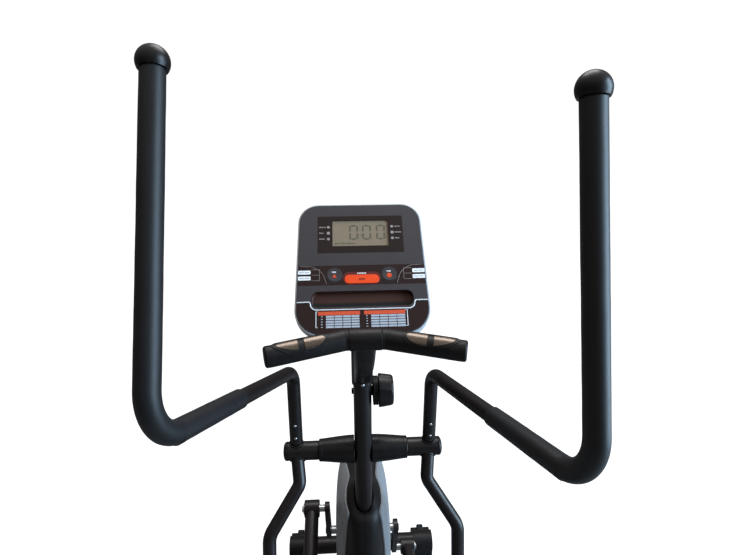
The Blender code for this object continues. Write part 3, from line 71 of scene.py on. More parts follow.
pivot = middle("pivot_axle")
crank_centre = middle("crank_axle")
arm_lean = math.radians(3.75)
console_lean = math.radians(48.3)
console_middle = Vector((0.0, pivot.y - 0.073, 1.300))
console_place = Matrix.Translation(console_middle) @ Matrix.Rotation(console_lean, 4, "X")
arm_places = {}
for word, side in SIDES.items():
    arm_places[word] = Matrix.Translation(pivot) @ Matrix.Rotation(side * arm_lean, 4, "X")
print("pivot", pivot, "crank", crank_centre)

# %% [markdown]
# ## Tools for modelling
# Most pieces start as a circle or a plane and are drawn out in edit mode: extrude to make a wall,
# scale the new ring, spin it round a bend. A few helpers keep those steps short. Finished pieces keep
# their object at the origin, with their place in their mesh.


# %% Begin, end and place a piece
def begin_edit(piece):
    """Edit mode with everything selected."""
    bpy.ops.object.select_all(action="DESELECT")
    piece.select_set(True)
    bpy.context.view_layer.objects.active = piece
    bpy.ops.object.mode_set(mode="EDIT")
    bpy.ops.mesh.select_all(action="SELECT")


def end_edit(outwards=True):
    """Merge what coincides, turn the faces out and leave edit mode."""
    bpy.ops.mesh.select_all(action="SELECT")
    bpy.ops.mesh.remove_doubles(threshold=2e-6)
    if outwards:
        bpy.ops.mesh.normals_make_consistent(inside=False)
    bpy.ops.object.mode_set(mode="OBJECT")


def named(name):
    """The primitive that was just added, with its place put into its mesh."""
    piece = bpy.context.object
    piece.name = name
    bpy.ops.object.transform_apply(location=True, rotation=True, scale=True)
    return piece


def placed(piece, matrix):
    """Move a piece by a matrix and put the move into its mesh."""
    bpy.ops.object.select_all(action="DESELECT")
    piece.select_set(True)
    bpy.context.view_layer.objects.active = piece
    piece.matrix_world = matrix @ piece.matrix_world
    bpy.ops.object.transform_apply(location=True, rotation=True, scale=True)
    return piece


def changed(piece, kind, **settings):
    """Add one modifier, set it and apply it."""
    bpy.ops.object.select_all(action="DESELECT")
    piece.select_set(True)
    bpy.context.view_layer.objects.active = piece
    modifier = piece.modifiers.new(kind.lower(), kind)
    for setting, value in settings.items():
        setattr(modifier, setting, value)
    bpy.ops.object.modifier_apply(modifier=modifier.name)
    return piece


def combined(piece, other, operation):
    """Boolean with another mesh, which is then removed."""
    changed(piece, "BOOLEAN", object=other, operation=operation, solver="EXACT")
    bpy.data.objects.remove(other, do_unlink=True)
    return piece


def united(piece, *others):
    """One piece and others welded to it."""
    for other in others:
        combined(piece, other, "UNION")
    return piece


def softened(piece, width, segments=2, angle=35.0):
    """Round over the sharp edges."""
    return changed(piece, "BEVEL", width=width, segments=segments, limit_method="ANGLE",
                   angle_limit=math.radians(angle), use_clamp_overlap=True)


# %% [markdown]
# A tube is a circle of edges that is pushed along its straight runs and spun round its bends, the way
# a tube bender does it. The spin's axis is square to both runs and lies on the inside of the bend.


# %% Bent tube
def bent_tube(name, points, bends, radius, sides=36, wall=0.0, finest=4.0):
    """Tube through corner points with a radius at each inner one; solid ends if it has no wall."""
    points = [Vector(point) for point in points]
    aim = (points[1] - points[0]).to_track_quat("Z", "Y").to_euler()
    fill = "NOTHING" if wall else "NGON"
    bpy.ops.mesh.primitive_circle_add(vertices=sides, radius=radius, fill_type=fill,
                                      location=points[0], rotation=aim)
    tube = named(name)
    begin_edit(tube)
    here = points[0]
    for corner, bend in enumerate(bends, start=1):
        into = (points[corner] - points[corner - 1]).normalized()
        away = (points[corner + 1] - points[corner]).normalized()
        turn = into.angle(away)
        reach = bend * math.tan(turn / 2)
        start = points[corner] - into * reach
        bpy.ops.mesh.extrude_region_move(TRANSFORM_OT_translate={"value": start - here})
        if bend:
            axis = into.cross(away).normalized()
            steps = max(3, round(math.degrees(turn) / finest))
            bpy.ops.mesh.spin(steps=steps, angle=-turn, center=start + axis.cross(into) * bend, axis=axis)
        here = points[corner] + away * reach
    bpy.ops.mesh.extrude_region_move(TRANSFORM_OT_translate={"value": points[-1] - here})
    end_edit()
    if wall:
        changed(tube, "SOLIDIFY", thickness=wall, offset=-1.0)
    return tube


# %% [markdown]
# A turned piece is drawn ring by ring: extrude the open edge along the axis, scale it to the next
# radius, and so on. A radius of nothing closes an end. It is drawn along Z at the origin, then stood
# along its own axis.


# %% Turned piece
ALONG = {"Z": Matrix.Identity(4), "X": Matrix.Rotation(math.pi / 2, 4, "Y"),
         "-X": Matrix.Rotation(-math.pi / 2, 4, "Y"), "-Y": Matrix.Rotation(math.pi / 2, 4, "X")}


def turned(name, rings, place=(0.0, 0.0, 0.0), axis="Z", sides=48):
    """Round piece from (along, radius) rings; the last ring joins the first if neither is closed."""
    tiny = 1e-6
    along, radius = rings[0]
    radius = max(radius, tiny)
    bpy.ops.mesh.primitive_circle_add(vertices=sides, radius=radius, fill_type="NOTHING",
                                      location=(0, 0, along))
    piece = named(name)
    begin_edit(piece)
    stops = list(rings[1:])
    if rings[0][1] > 0 and rings[-1][1] > 0:
        stops.append(rings[0])
    for next_along, next_radius in stops:
        next_radius = max(next_radius, tiny)
        bpy.ops.mesh.extrude_region_move(TRANSFORM_OT_translate={"value": (0, 0, next_along - along)})
        factor = next_radius / radius
        bpy.ops.transform.resize(value=(factor, factor, 1.0), center_override=(0.0, 0.0, next_along))
        along, radius = next_along, next_radius
    end_edit()
    matrix = place if isinstance(place, Matrix) else Matrix.Translation(place)
    return placed(piece, matrix @ ALONG[axis])


def rod(name, low, high, radius, place=(0.0, 0.0, 0.0), axis="Z", sides=48):
    """Plain round bar between two heights along its axis."""
    return turned(name, [(low, 0.0), (low, radius), (high, radius), (high, 0.0)], place, axis, sides)


# %% [markdown]
# Where the section changes shape along a piece, as on the shroud, a ring of vertices is set on the
# first section, extruded, and set on the next. The extrusion keeps each new vertex joined to the one
# it came from, which gives its place in the ring.


# %% Piece drawn through sections
def drawn(name, rings, capped=True):
    """Skin through rings of points, each with as many as the first."""
    count = len(rings[0])
    bpy.ops.mesh.primitive_circle_add(vertices=count, fill_type="NGON" if capped else "NOTHING")
    piece = named(name)
    begin_edit(piece)
    mesh = bmesh.from_edit_mesh(piece.data)
    mesh.verts.ensure_lookup_table()
    for index, point in enumerate(rings[0]):
        mesh.verts[index].co = point
    order = {index: index for index in range(count)}
    for ring in rings[1:]:
        bmesh.update_edit_mesh(piece.data)
        bpy.ops.mesh.extrude_region_move(TRANSFORM_OT_translate={"value": (0, 0, 0)})
        mesh = bmesh.from_edit_mesh(piece.data)
        mesh.verts.index_update()
        mesh.verts.ensure_lookup_table()
        following = {}
        for vert in mesh.verts:
            if vert.select:
                others = [edge.other_vert(vert) for edge in vert.link_edges]
                came_from = [other.index for other in others if not other.select]
                following[vert.index] = order[came_from[0]]
        for index, place in following.items():
            mesh.verts[index].co = ring[place]
        order = following
    bmesh.update_edit_mesh(piece.data)
    end_edit()
    return piece


# %% [markdown]
# Plates start as a plane at their size. Their corners are rounded with a vertex bevel before the
# plane is pushed to its thickness. Many small plates can share one object, as printed marks do.


# %% Plates
def plate(name, low, high, corner=0.0, steps=6):
    """Block with upright edges rounded, between two corners."""
    low, high = Vector(low), Vector(high)
    centre, size = (low + high) / 2, high - low
    bpy.ops.mesh.primitive_plane_add(size=1.0, location=(centre.x, centre.y, low.z))
    piece = bpy.context.object
    piece.scale = (size.x, size.y, 1.0)
    named(name)
    begin_edit(piece)
    if corner:
        bpy.ops.mesh.bevel(offset=corner, segments=steps, affect="VERTICES")
    bpy.ops.mesh.select_all(action="SELECT")
    bpy.ops.mesh.extrude_region_move(TRANSFORM_OT_translate={"value": (0, 0, size.z)})
    end_edit()
    return piece


def marks(name, boxes, low, high):
    """Thin marks in one object, from (x, y, width, height, corner) each."""
    bpy.ops.mesh.primitive_plane_add(size=1.0, location=(0, 0, low))
    piece = named(name)
    begin_edit(piece)
    bpy.ops.mesh.delete(type="VERT")
    for x, y, width, height, corner in boxes:
        if width == height and corner >= width / 2:
            bpy.ops.mesh.primitive_circle_add(vertices=20, radius=corner, fill_type="NGON",
                                              location=(x, y, low))
            continue
        bpy.ops.mesh.primitive_plane_add(size=1.0, location=(x, y, low))
        bpy.ops.transform.resize(value=(width, height, 1.0), center_override=(x, y, low))
        if corner:
            bpy.ops.mesh.bevel(offset=corner * 0.98, segments=4, affect="VERTICES")
    bpy.ops.mesh.select_all(action="SELECT")
    bpy.ops.mesh.extrude_region_move(TRANSFORM_OT_translate={"value": (0, 0, high - low)})
    bpy.ops.mesh.select_all(action="SELECT")
    bpy.ops.mesh.normals_make_consistent(inside=False)
    bpy.ops.object.mode_set(mode="OBJECT")
    return piece


# %% Copies
def solid_copy(node, name):
    """Copy of a node's mesh with its loose triangles merged, to be finished further."""
    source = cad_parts[node]
    copy = source.copy()
    copy.data = source.data.copy()
    copy.parent = None
    for key in list(copy.keys()):
        del copy[key]
    bpy.context.scene.collection.objects.link(copy)
    copy.name = name
    copy.data.materials.clear()
    begin_edit(copy)
    bpy.ops.mesh.remove_doubles(threshold=1e-5)
    bpy.ops.mesh.dissolve_limited(angle_limit=math.radians(0.5))
    bpy.ops.object.mode_set(mode="OBJECT")
    return copy


def joined(name, pieces):
    """Several meshes put into one object."""
    bpy.ops.object.select_all(action="DESELECT")
    for piece in pieces:
        piece.select_set(True)
    bpy.context.view_layer.objects.active = pieces[0]
    bpy.ops.object.join()
    pieces[0].name = name
    return pieces[0]


def dressed(piece, body, material, nodes=(), smooth=32.0):
    """Shade a piece, give it its material and slot, and let it ride on a body for its nodes."""
    bpy.ops.object.select_all(action="DESELECT")
    piece.select_set(True)
    bpy.context.view_layer.objects.active = piece
    bpy.ops.object.shade_smooth_by_angle(angle=math.radians(smooth))
    changed(piece, "WEIGHTED_NORMAL", keep_sharp=True)
    piece.data.materials.clear()
    piece.data.materials.append(material)
    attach(piece, body)
    if nodes:
        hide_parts(*nodes)
    print(piece.name, len(piece.data.polygons), "faces on", body)
    return piece

# %% [markdown]
# ## Finishes
# Each finish is one Principled shader with noise on Object coordinates, so a grain keeps its real
# size: a scale of 600 repeats about every 1.7 mm. Numbers that are the same all over sit on the
# shader's own sockets. Colour, roughness and bump vary through a few shared helpers.


# %% Helpers for finishes
def new_finish(name, roughness, metallic=0.0, specular=0.5):
    """Material with a Principled shader; returns it with its tree, shader and object coordinates."""
    material = bpy.data.materials.new(name)
    material.use_nodes = True
    tree = material.node_tree
    shader = tree.nodes["Principled BSDF"]
    shader.inputs["Roughness"].default_value = roughness
    shader.inputs["Metallic"].default_value = metallic
    shader.inputs["Specular IOR Level"].default_value = specular
    places = tree.nodes.new("ShaderNodeTexCoord")
    return material, tree, shader, places.outputs["Object"]


def stretched(tree, places, scale, turn=(0.0, 0.0, 0.0)):
    """Coordinates scaled by axis, to draw a grain out."""
    mapping = tree.nodes.new("ShaderNodeMapping")
    mapping.inputs["Scale"].default_value = scale
    mapping.inputs["Rotation"].default_value = turn
    tree.links.new(places, mapping.inputs["Vector"])
    return mapping.outputs["Vector"]


def noise(tree, places, scale, detail=3.0, roughness=0.55):
    """Soft noise from nothing to one."""
    node = tree.nodes.new("ShaderNodeTexNoise")
    node.inputs["Scale"].default_value = scale
    node.inputs["Detail"].default_value = detail
    node.inputs["Roughness"].default_value = roughness
    tree.links.new(places, node.inputs["Vector"])
    return node.outputs["Fac"]


def cells(tree, places, scale):
    """Distance to the nearest of scattered points, as pores and moulded grain have it."""
    node = tree.nodes.new("ShaderNodeTexVoronoi")
    node.inputs["Scale"].default_value = scale
    tree.links.new(places, node.inputs["Vector"])
    return node.outputs["Distance"]


def coloured(tree, shader, amount, stops):
    """Base colour from a ramp of (position, colour) over an amount."""
    ramp = tree.nodes.new("ShaderNodeValToRGB")
    while len(ramp.color_ramp.elements) < len(stops):
        ramp.color_ramp.elements.new(0.5)
    for element, (position, colour) in zip(ramp.color_ramp.elements, stops):
        element.position = position
        element.color = (*colour, 1.0)
    tree.links.new(amount, ramp.inputs["Fac"])
    tree.links.new(ramp.outputs["Color"], shader.inputs["Base Color"])


def varied_roughness(tree, shader, amount, low, high):
    """Roughness between two values over an amount."""
    span = tree.nodes.new("ShaderNodeMapRange")
    span.inputs["From Min"].default_value = 0.3
    span.inputs["From Max"].default_value = 0.7
    span.inputs["To Min"].default_value = low
    span.inputs["To Max"].default_value = high
    tree.links.new(amount, span.inputs["Value"])
    tree.links.new(span.outputs["Result"], shader.inputs["Roughness"])


def bumped(tree, shader, layers):
    """Bump from (amount, depth in metres, strength) layers, the coarse ones first."""
    normal = None
    for amount, depth, strength in layers:
        bump = tree.nodes.new("ShaderNodeBump")
        bump.inputs["Distance"].default_value = depth
        bump.inputs["Strength"].default_value = strength
        tree.links.new(amount, bump.inputs["Height"])
        if normal:
            tree.links.new(normal, bump.inputs["Normal"])
        normal = bump.outputs["Normal"]
    tree.links.new(normal, shader.inputs["Normal"])


def tinted(colour, factor):
    """Colour made lighter or darker."""
    return tuple(channel * factor for channel in colour)


# %% [markdown]
# The tubes and the post are powder coated: a warm black with a faint orange peel, which softens the
# edge of every highlight. Moulded plastic is finer and cooler, with a spark-eroded grain.


# %% Powder coat and plain moulded finishes
def painted_finish(name, colour, roughness, peel=0.00006):
    """Powder coat with orange peel and a little unevenness in its gloss."""
    material, tree, shader, places = new_finish(name, roughness, specular=0.36)
    broad = noise(tree, places, 9.0, 2.0)
    coloured(tree, shader, broad, [(0.3, tinted(colour, 0.8)), (0.7, tinted(colour, 1.25))])
    varied_roughness(tree, shader, noise(tree, places, 60.0), roughness - 0.04, roughness + 0.06)
    bumped(tree, shader, [(noise(tree, places, 420.0, 2.0), peel, 0.55)])
    return material


def moulded_finish(name, colour, roughness, grain=1500.0, depth=0.00005, specular=0.4, spread=1.18):
    """Moulded plastic with an eroded grain and faint flow marks."""
    material, tree, shader, places = new_finish(name, roughness, specular=specular)
    broad = noise(tree, places, 22.0, 4.0)
    coloured(tree, shader, broad, [(0.3, tinted(colour, 1 / spread)), (0.7, tinted(colour, spread))])
    varied_roughness(tree, shader, noise(tree, places, 90.0), roughness - 0.05, roughness + 0.06)
    bumped(tree, shader, [(cells(tree, places, grain), depth, 0.5)])
    return material


powder_coat = painted_finish("powder_coat", (0.0085, 0.0056, 0.0055), 0.36)
black_moulding = moulded_finish("black_moulding", (0.0062, 0.0046, 0.0045), 0.46, specular=0.27)
smooth_moulding = moulded_finish("smooth_moulding", (0.0062, 0.0050, 0.0050), 0.36, 2600.0, 0.00002, 0.30)
pedal_moulding = moulded_finish("pedal_moulding", (0.0120, 0.0122, 0.0130), 0.55, grain=900.0, depth=0.00009)
grey_panel = moulded_finish("grey_panel", (0.215, 0.225, 0.240), 0.38, grain=1400.0, spread=1.03)
silver_shell = moulded_finish("silver_shell", (0.52, 0.55, 0.58), 0.30, 2200.0, 0.00002, 0.6, spread=1.03)
face_plastic = moulded_finish("face_plastic", (0.040, 0.0335, 0.0370), 0.44, 1900.0, 0.00003, spread=1.06)
# Painted shade: by height, the tray lining runs from near black at its lower edge to brown above it.
tray_plastic_with_painted_shade, tray_tree, tray_shader, tray_places = new_finish("tray_plastic_with_painted_shade", 0.5, specular=0.35)
tray_split = tray_tree.nodes.new("ShaderNodeSeparateXYZ")
tray_shade_height = tray_tree.nodes.new("ShaderNodeMapRange")
tray_shade_height.inputs["From Min"].default_value = 1.2300
tray_shade_height.inputs["From Max"].default_value = 1.2345
tray_tree.links.new(tray_places, tray_split.inputs["Vector"])
tray_tree.links.new(tray_split.outputs["Z"], tray_shade_height.inputs["Value"])
tray_shade_stops = [(0.0, (0.0045, 0.004, 0.004)), (1.0, (0.068, 0.024, 0.016))]
coloured(tray_tree, tray_shader, tray_shade_height.outputs["Result"], tray_shade_stops)
bumped(tray_tree, tray_shader, [(cells(tray_tree, tray_places, 1900.0), 0.00003, 0.5)])
bush_plastic = moulded_finish("bush_plastic", (0.42, 0.43, 0.44), 0.42, spread=1.03)
print("moulded finishes made")

# %% [markdown]
# Printed areas have the smoother skin of ink or film. The key caps are softer and a little
# translucent, so they take a touch of subsurface light.


# %% Printed and key finishes
def printed_finish(name, colour, roughness=0.4, specular=0.4):
    """Ink or film, with a faint mottle."""
    material, tree, shader, places = new_finish(name, roughness, specular=specular)
    mottle = noise(tree, places, 260.0, 3.0)
    coloured(tree, shader, mottle, [(0.3, tinted(colour, 0.92)), (0.7, tinted(colour, 1.08))])
    bumped(tree, shader, [(noise(tree, places, 1200.0), 0.00002, 0.4)])
    return material


brown_film = printed_finish("brown_film", (0.0270, 0.0125, 0.0112), 0.42, 0.15)
window_film = printed_finish("window_film", (0.0210, 0.0122, 0.0108), 0.30, 0.2)
dark_film = printed_finish("dark_film", (0.0050, 0.0045, 0.0050), 0.40)
silver_film = printed_finish("silver_film", (0.78, 0.80, 0.82), 0.32)
white_ink = printed_finish("white_ink", (0.90, 0.92, 0.94), 0.45)
grey_ink = printed_finish("grey_ink", (0.34, 0.29, 0.27), 0.45)
cell_ink = printed_finish("cell_ink", (0.46, 0.50, 0.56), 0.45)
header_ink = printed_finish("header_ink", (0.72, 0.085, 0.028), 0.45)
dark_red_ink = printed_finish("dark_red_ink", (0.110, 0.008, 0.005), 0.45)
orange_ink = printed_finish("orange_ink", (0.80, 0.070, 0.012), 0.42)
display_ink = printed_finish("display_ink", (0.115, 0.100, 0.070), 0.35)
display_glass = printed_finish("display_glass", (0.260, 0.200, 0.135), 0.30, 0.3)
orange_key = printed_finish("orange_key", (0.96, 0.068, 0.005), 0.40)
orange_key.node_tree.nodes["Principled BSDF"].inputs["Subsurface Weight"].default_value = 0.12
orange_key.node_tree.nodes["Principled BSDF"].inputs["Subsurface Scale"].default_value = 0.002

# %% [markdown]
# Foam sleeves are closed-cell rubber: no gloss to speak of, fine pores, and slow dents where hands
# have been. Rubber and belt share the recipe with other sizes.


# %% Foam and rubber
def foam_finish(name, colour, roughness, pores, depth, sheen, specular=0.22):
    """Foam or rubber with pores over slow dents."""
    material, tree, shader, places = new_finish(name, roughness, specular=specular)
    shader.inputs["Sheen Weight"].default_value = sheen
    shader.inputs["Sheen Roughness"].default_value = 0.45
    slow = noise(tree, places, 28.0, 3.0)
    coloured(tree, shader, slow, [(0.3, tinted(colour, 0.8)), (0.7, tinted(colour, 1.25))])
    bumped(tree, shader, [(slow, 0.0006, 0.2), (cells(tree, places, pores), depth, 0.55)])
    return material


foam = foam_finish("foam", (0.0050, 0.0052, 0.0062), 0.50, 850.0, 0.00010, 0.02, 0.42)
rubber = foam_finish("rubber", (0.0130, 0.0130, 0.0135), 0.68, 1600.0, 0.00005, 0.02)
belt_rubber = foam_finish("belt_rubber", (0.0150, 0.0145, 0.0140), 0.60, 1100.0, 0.00006, 0.0)

# %% [markdown]
# Metal shows how it was worked. The sensor plates are brushed along their length, so the noise is
# squeezed across the grain. Zinc on screws and pins is cloudier, and the flywheel is cast and turned.


# %% Metals
def metal_finish(name, colour, roughness, grain, depth, scale=(1.0, 1.0, 1.0), turn=(0.0, 0.0, 0.0)):
    """Bare metal whose grain can be drawn out by axis."""
    material, tree, shader, places = new_finish(name, roughness, metallic=1.0)
    along = stretched(tree, places, scale, turn)
    streaks = noise(tree, along, grain, 4.0, 0.65)
    coloured(tree, shader, streaks, [(0.25, tinted(colour, 0.72)), (0.75, tinted(colour, 1.12))])
    varied_roughness(tree, shader, streaks, roughness - 0.08, roughness + 0.10)
    bumped(tree, shader, [(streaks, depth, 0.4)])
    return material


brushed_steel = metal_finish("brushed_steel", (0.155, 0.125, 0.103), 0.26, 350.0, 0.000003, (0.05, 1.0, 1.0))
zinc_steel = metal_finish("zinc_steel", (0.60, 0.60, 0.61), 0.30, 300.0, 0.00002)
turned_steel = metal_finish("turned_steel", (0.46, 0.46, 0.47), 0.34, 700.0, 0.00003, (1.0, 0.15, 0.15))
cast_iron = metal_finish("cast_iron", (0.20, 0.20, 0.205), 0.46, 500.0, 0.00012)
print(len(bpy.data.materials), "materials with those of the frame")

# %% [markdown]
# ## Handlebars
# Each handlebar is one steel tube, bent back towards the user and then up. The foot slides over a
# plug on the swing arm and two small screws hold it there. The straight runs of the foam sleeve are
# cut into short steps, so that slow dents can be pushed into it.

# %% Where the tubes bend, from the pivot, with the arm at mid swing
tube_radius = 0.016
arm_out = 0.164
stub_start = (arm_out, 0.0, 0.027)
upper_bend = (arm_out, 0.0, 0.214)
elbow = (0.306, -0.512, 0.340)
grip_top = (0.3045, -0.330, 0.842)
foam_start = tuple(a + (b - a) * 0.5 for a, b in zip(upper_bend, elbow))


def arm_points(word, points):
    """Points given for the right arm, put where they are on one arm at rest."""
    side = SIDES[word]
    return [arm_places[word] @ Vector((side * x, y, z)) for x, y, z in points]


# %% Tubes of both handlebars
for word in SIDES:
    line = arm_points(word, [stub_start, upper_bend, elbow, grip_top])
    tube = bent_tube("handlebar_tube_" + word, line, [0.045, 0.070], tube_radius, wall=0.002)
    dressed(tube, "arm_" + word, powder_coat, ["handlebar_" + word])

# %% [markdown]
# The foam has 3 mm of wall, ends that are cut square and rolled by handling, and a soft surface. A
# cloud texture pushes the outside in and out by a fraction of a millimetre.

# %% Foam sleeves
dents = bpy.data.textures.new("hand_dents", "CLOUDS")
dents.noise_scale = 0.045
for word in SIDES:
    start, corner, top = arm_points(word, [foam_start, elbow, grip_top])
    run = [start + (corner - start) * k / 30 for k in range(24)]
    rise = [corner + (top - corner) * k / 60 for k in range(12, 61)]
    sleeve = bent_tube("foam_sleeve_" + word, run + [corner] + rise,
                       [0.0] * 23 + [0.070] + [0.0] * 48, 0.019, sides=48, wall=0.0)
    changed(sleeve, "BEVEL", width=0.0012, segments=3, limit_method="ANGLE", angle_limit=math.radians(60))
    changed(sleeve, "DISPLACE", texture=dents, strength=0.0007, mid_level=0.62, texture_coords="LOCAL")
    bore = bent_tube("bore", [start + (start - corner) * 0.02, corner, top + (top - corner) * 0.02],
                     [0.070], tube_radius + 0.0004, sides=36)
    combined(sleeve, bore, "DIFFERENCE")
    dressed(sleeve, "arm_" + word, foam, ["foam_grip_" + word], smooth=50)

# %% [markdown]
# The ball caps are moulded, with a plug that is pressed into the tube. The ball is turned from an arc
# of rings, and stands in line with the top of the grip.

# %% Ball caps
ball_radius = 0.025
ball_rise = 0.012
first = math.acos(-(ball_rise - 0.0004) / ball_radius)
ball_rings = [(-0.020, 0.0), (-0.020, 0.0125), (-0.019, 0.0132), (0.0004, 0.0132)]
for k in range(25):
    angle = first * (1 - k / 24)
    ball_rings.append((ball_rise + ball_radius * math.cos(angle), ball_radius * math.sin(angle)))
ball_rings[-1] = (ball_rise + ball_radius, 0.0)
for word in SIDES:
    corner, top = arm_points(word, [elbow, grip_top])
    lean = (top - corner).to_track_quat("Z", "Y").to_matrix().to_4x4()
    ball = turned("ball_end_" + word, ball_rings, Matrix.Translation(top) @ lean)
    dressed(ball, "arm_" + word, smooth_moulding, ["ball_cap_" + word])

# %% [markdown]
# ## Swing arms
# The lower arm is a weldment: a sleeve on the pivot axle, the tube that flares out to clear the
# shroud, a bush for the pedal bar's pin, and the plug. The parts are united, then bored. A weld is a
# thin torus whose vertices slide along the tube until they lie on the sleeve, so it follows the
# saddle where two round tubes meet.

# %% Weld bead round a tube that leaves the sleeve
sleeve_radius = 0.023


def weld_bead(name, word, foot, direction, radius):
    """Saddle-shaped bead where a tube leaves the pivot sleeve, in one arm's place."""
    direction = Vector(direction).normalized()
    turn = direction.to_track_quat("Z", "Y").to_matrix()
    bpy.ops.mesh.primitive_torus_add(major_segments=48, minor_segments=10, major_radius=radius,
                                     minor_radius=0.0024)
    bead = named(name)
    reach = direction.y ** 2 + direction.z ** 2
    for vert in bead.data.vertices:
        angle = math.atan2(vert.co.y, vert.co.x)
        ripple = 1.0 + 0.05 * math.sin(angle * 22)
        out = turn @ Vector((radius * math.cos(angle), radius * math.sin(angle), 0.0))
        half = out.y * direction.y + out.z * direction.z
        lift = math.sqrt(half ** 2 - reach * (out.y ** 2 + out.z ** 2 - sleeve_radius ** 2)) - half
        vert.co = turn @ Vector((vert.co.x, vert.co.y, vert.co.z * ripple)) + direction * lift / reach
        vert.co += Vector(foot)
    return placed(bead, arm_places[word])


# %% Both swing arms
hinge = (0.228, -0.200, -0.520)
flare = (0.228, -0.096, -0.165)
lower_bend = (0.156, -0.040, -0.066)
for word, side in SIDES.items():
    place = arm_places[word]
    ends = sorted((side * 0.1095, side * 0.186))
    rings = [(ends[0], 0.0), (ends[0], 0.0222), (ends[0] + 0.0008, sleeve_radius),
             (ends[1] - 0.0008, sleeve_radius), (ends[1], 0.0222), (ends[1], 0.0)]
    arm = turned("swing_arm_tube_" + word, rings, place, "X")
    line = arm_points(word, [(arm_out, 0.0, 0.0), lower_bend, flare, hinge])
    tube = bent_tube("tube", line, [0.030, 0.050], tube_radius)
    plug = turned("plug", [(0.015, 0.0), (0.015, 0.0134), (0.094, 0.0134), (0.095, 0.0120), (0.095, 0.0)],
                  place @ Matrix.Translation((side * arm_out, 0.0, 0.0)))
    ends = sorted((side * 0.184, side * 0.2475))
    bush_rings = [(ends[0], 0.0), (ends[0], 0.021), (ends[0] + 0.001, 0.022),
                  (ends[1] - 0.001, 0.022), (ends[1], 0.021), (ends[1], 0.0)]
    bush = turned("bush", bush_rings, place @ Matrix.Translation((0.0, hinge[1], hinge[2])), "X")
    down = Vector(lower_bend) - Vector((arm_out, 0.0, 0.0))
    down.x *= side
    lower_weld = weld_bead("lower_weld", word, (side * arm_out, 0.0, 0.0), down, tube_radius + 0.0006)
    upper_weld = weld_bead("upper_weld", word, (side * arm_out, 0.0, 0.002), (0.0, 0.0, 1.0),
                           tube_radius - 0.0006)
    united(arm, tube, plug, bush, lower_weld, upper_weld)
    bore = rod("bore", -0.3, 0.3, 0.0185, place, "X")
    eye = rod("eye", -0.3, 0.3, 0.0106, place @ Matrix.Translation((0.0, hinge[1], hinge[2])), "X")
    combined(arm, bore, "DIFFERENCE")
    combined(arm, eye, "DIFFERENCE")
    dressed(arm, "arm_" + word, powder_coat, ["swing_arm_" + word])

# %% [markdown]
# Domed caps close the outer ends of the sleeves. Screws repeat all over the machine, so one pan head
# with a cross recess is modelled and copied: a turned dome less two crossed slots.

# %% Pivot caps
for word, side in SIDES.items():
    face = 0.1864
    dome = [(0.178, 0.0), (0.178, 0.0181), (face, 0.0181), (face, 0.0228), (face + 0.0012, 0.0233)]
    for k in range(1, 13):
        angle = math.pi / 2 * k / 12
        dome.append((face + 0.0012 + 0.0088 * math.sin(angle), 0.0233 * math.cos(angle) ** 0.55))
    dome[-1] = (face + 0.010, 0.0)
    cap = turned("pivot_end_cap_" + word, dome, arm_places[word], "X" if side > 0 else "-X")
    dressed(cap, "arm_" + word, smooth_moulding, ["pivot_cap_" + word])


# %% One screw head, to be copied
def screw_head(name, place, radius=0.0045):
    """Pan head with a cross recess, its underside on the place's XY plane."""
    scale = radius / 0.0045
    head = turned(name, [(-0.0006, 0.0), (-0.0006, 0.0042), (0.0, 0.0045), (0.0008, 0.0044), (0.0017, 0.0036),
                         (0.0023, 0.0022), (0.0025, 0.0)], sides=24)
    for turn in (0.0, math.pi / 2):
        slot = plate("slot", (-0.0024, -0.0005, 0.0010), (0.0024, 0.0005, 0.0040))
        combined(head, placed(slot, Matrix.Rotation(turn, 4, "Z")), "DIFFERENCE")
    return placed(head, place @ Matrix.Scale(scale, 4))


def facing(point, direction):
    """Matrix that stands a screw on a point, looking along a direction."""
    return Matrix.Translation(point) @ Vector(direction).to_track_quat("Z", "Y").to_matrix().to_4x4()


# %% Screws at the foot of each handlebar
for word, side in SIDES.items():
    towards_user = arm_places[word].to_3x3() @ Vector((0.0, -1.0, 0.0))
    heads = []
    for height in (0.043, 0.077):
        spot = arm_places[word] @ Vector((side * arm_out, -tube_radius + 0.0004, height))
        heads.append(screw_head("head", facing(spot, towards_user), 0.0036))
    dressed(joined("handlebar_screws_" + word, heads), "arm_" + word, zinc_steel)

# %% [markdown]
# ## Upright post and pivot covers
# The post is an extruded oval: two half circles joined by flats. It is drawn from rings, cut at the
# top by the console's plane, and united with the cross tube for the pivot and the console's plate.


# %% Oval ring of the post and its sleeve
def oval_ring(width, depth, z, steps=18, y=0.0):
    """Flat-sided oval, its long way along Y."""
    radius = width / 2
    reach = depth / 2 - radius
    ring = []
    for end in (1, -1):
        for k in range(steps + 1):
            angle = math.pi * k / steps
            out, along = radius * math.cos(angle), reach + radius * math.sin(angle)
            ring.append(Vector((end * out, y + end * along, z)))
    return ring


def cylinder_x(name, low, high, radius, centre):
    """Solid round bar along X, as a boolean tool."""
    return rod(name, low, high, radius, centre, "X")


# %% Post
post_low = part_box("upright_post")[0].z
post = drawn("post", [oval_ring(0.0425, 0.076, z, y=pivot.y) for z in (post_low, 0.40, 0.80, 1.10, 1.36)])
above = plate("above", (-0.1, -0.3, -0.0614), (0.1, 0.3, 0.4))
combined(post, placed(above, console_place), "DIFFERENCE")
united(post, cylinder_x("cross", -0.1085, 0.1085, 0.020, pivot))
mount = softened(plate("mount", (-0.050, -0.0064, -0.0624), (0.050, 0.0986, -0.0584), 0.008), 0.0006)
united(post, placed(mount, console_place))
combined(post, cylinder_x("bore", -0.2, 0.2, 0.0104, pivot), "DIFFERENCE")
dressed(post, "frame", powder_coat, ["upright_post"])

# %% [markdown]
# The covers taper from the post to the sleeves. Each has a rolled rim at the sleeve end, a shallow
# groove behind it and a seam along the top and bottom where its halves snap together.

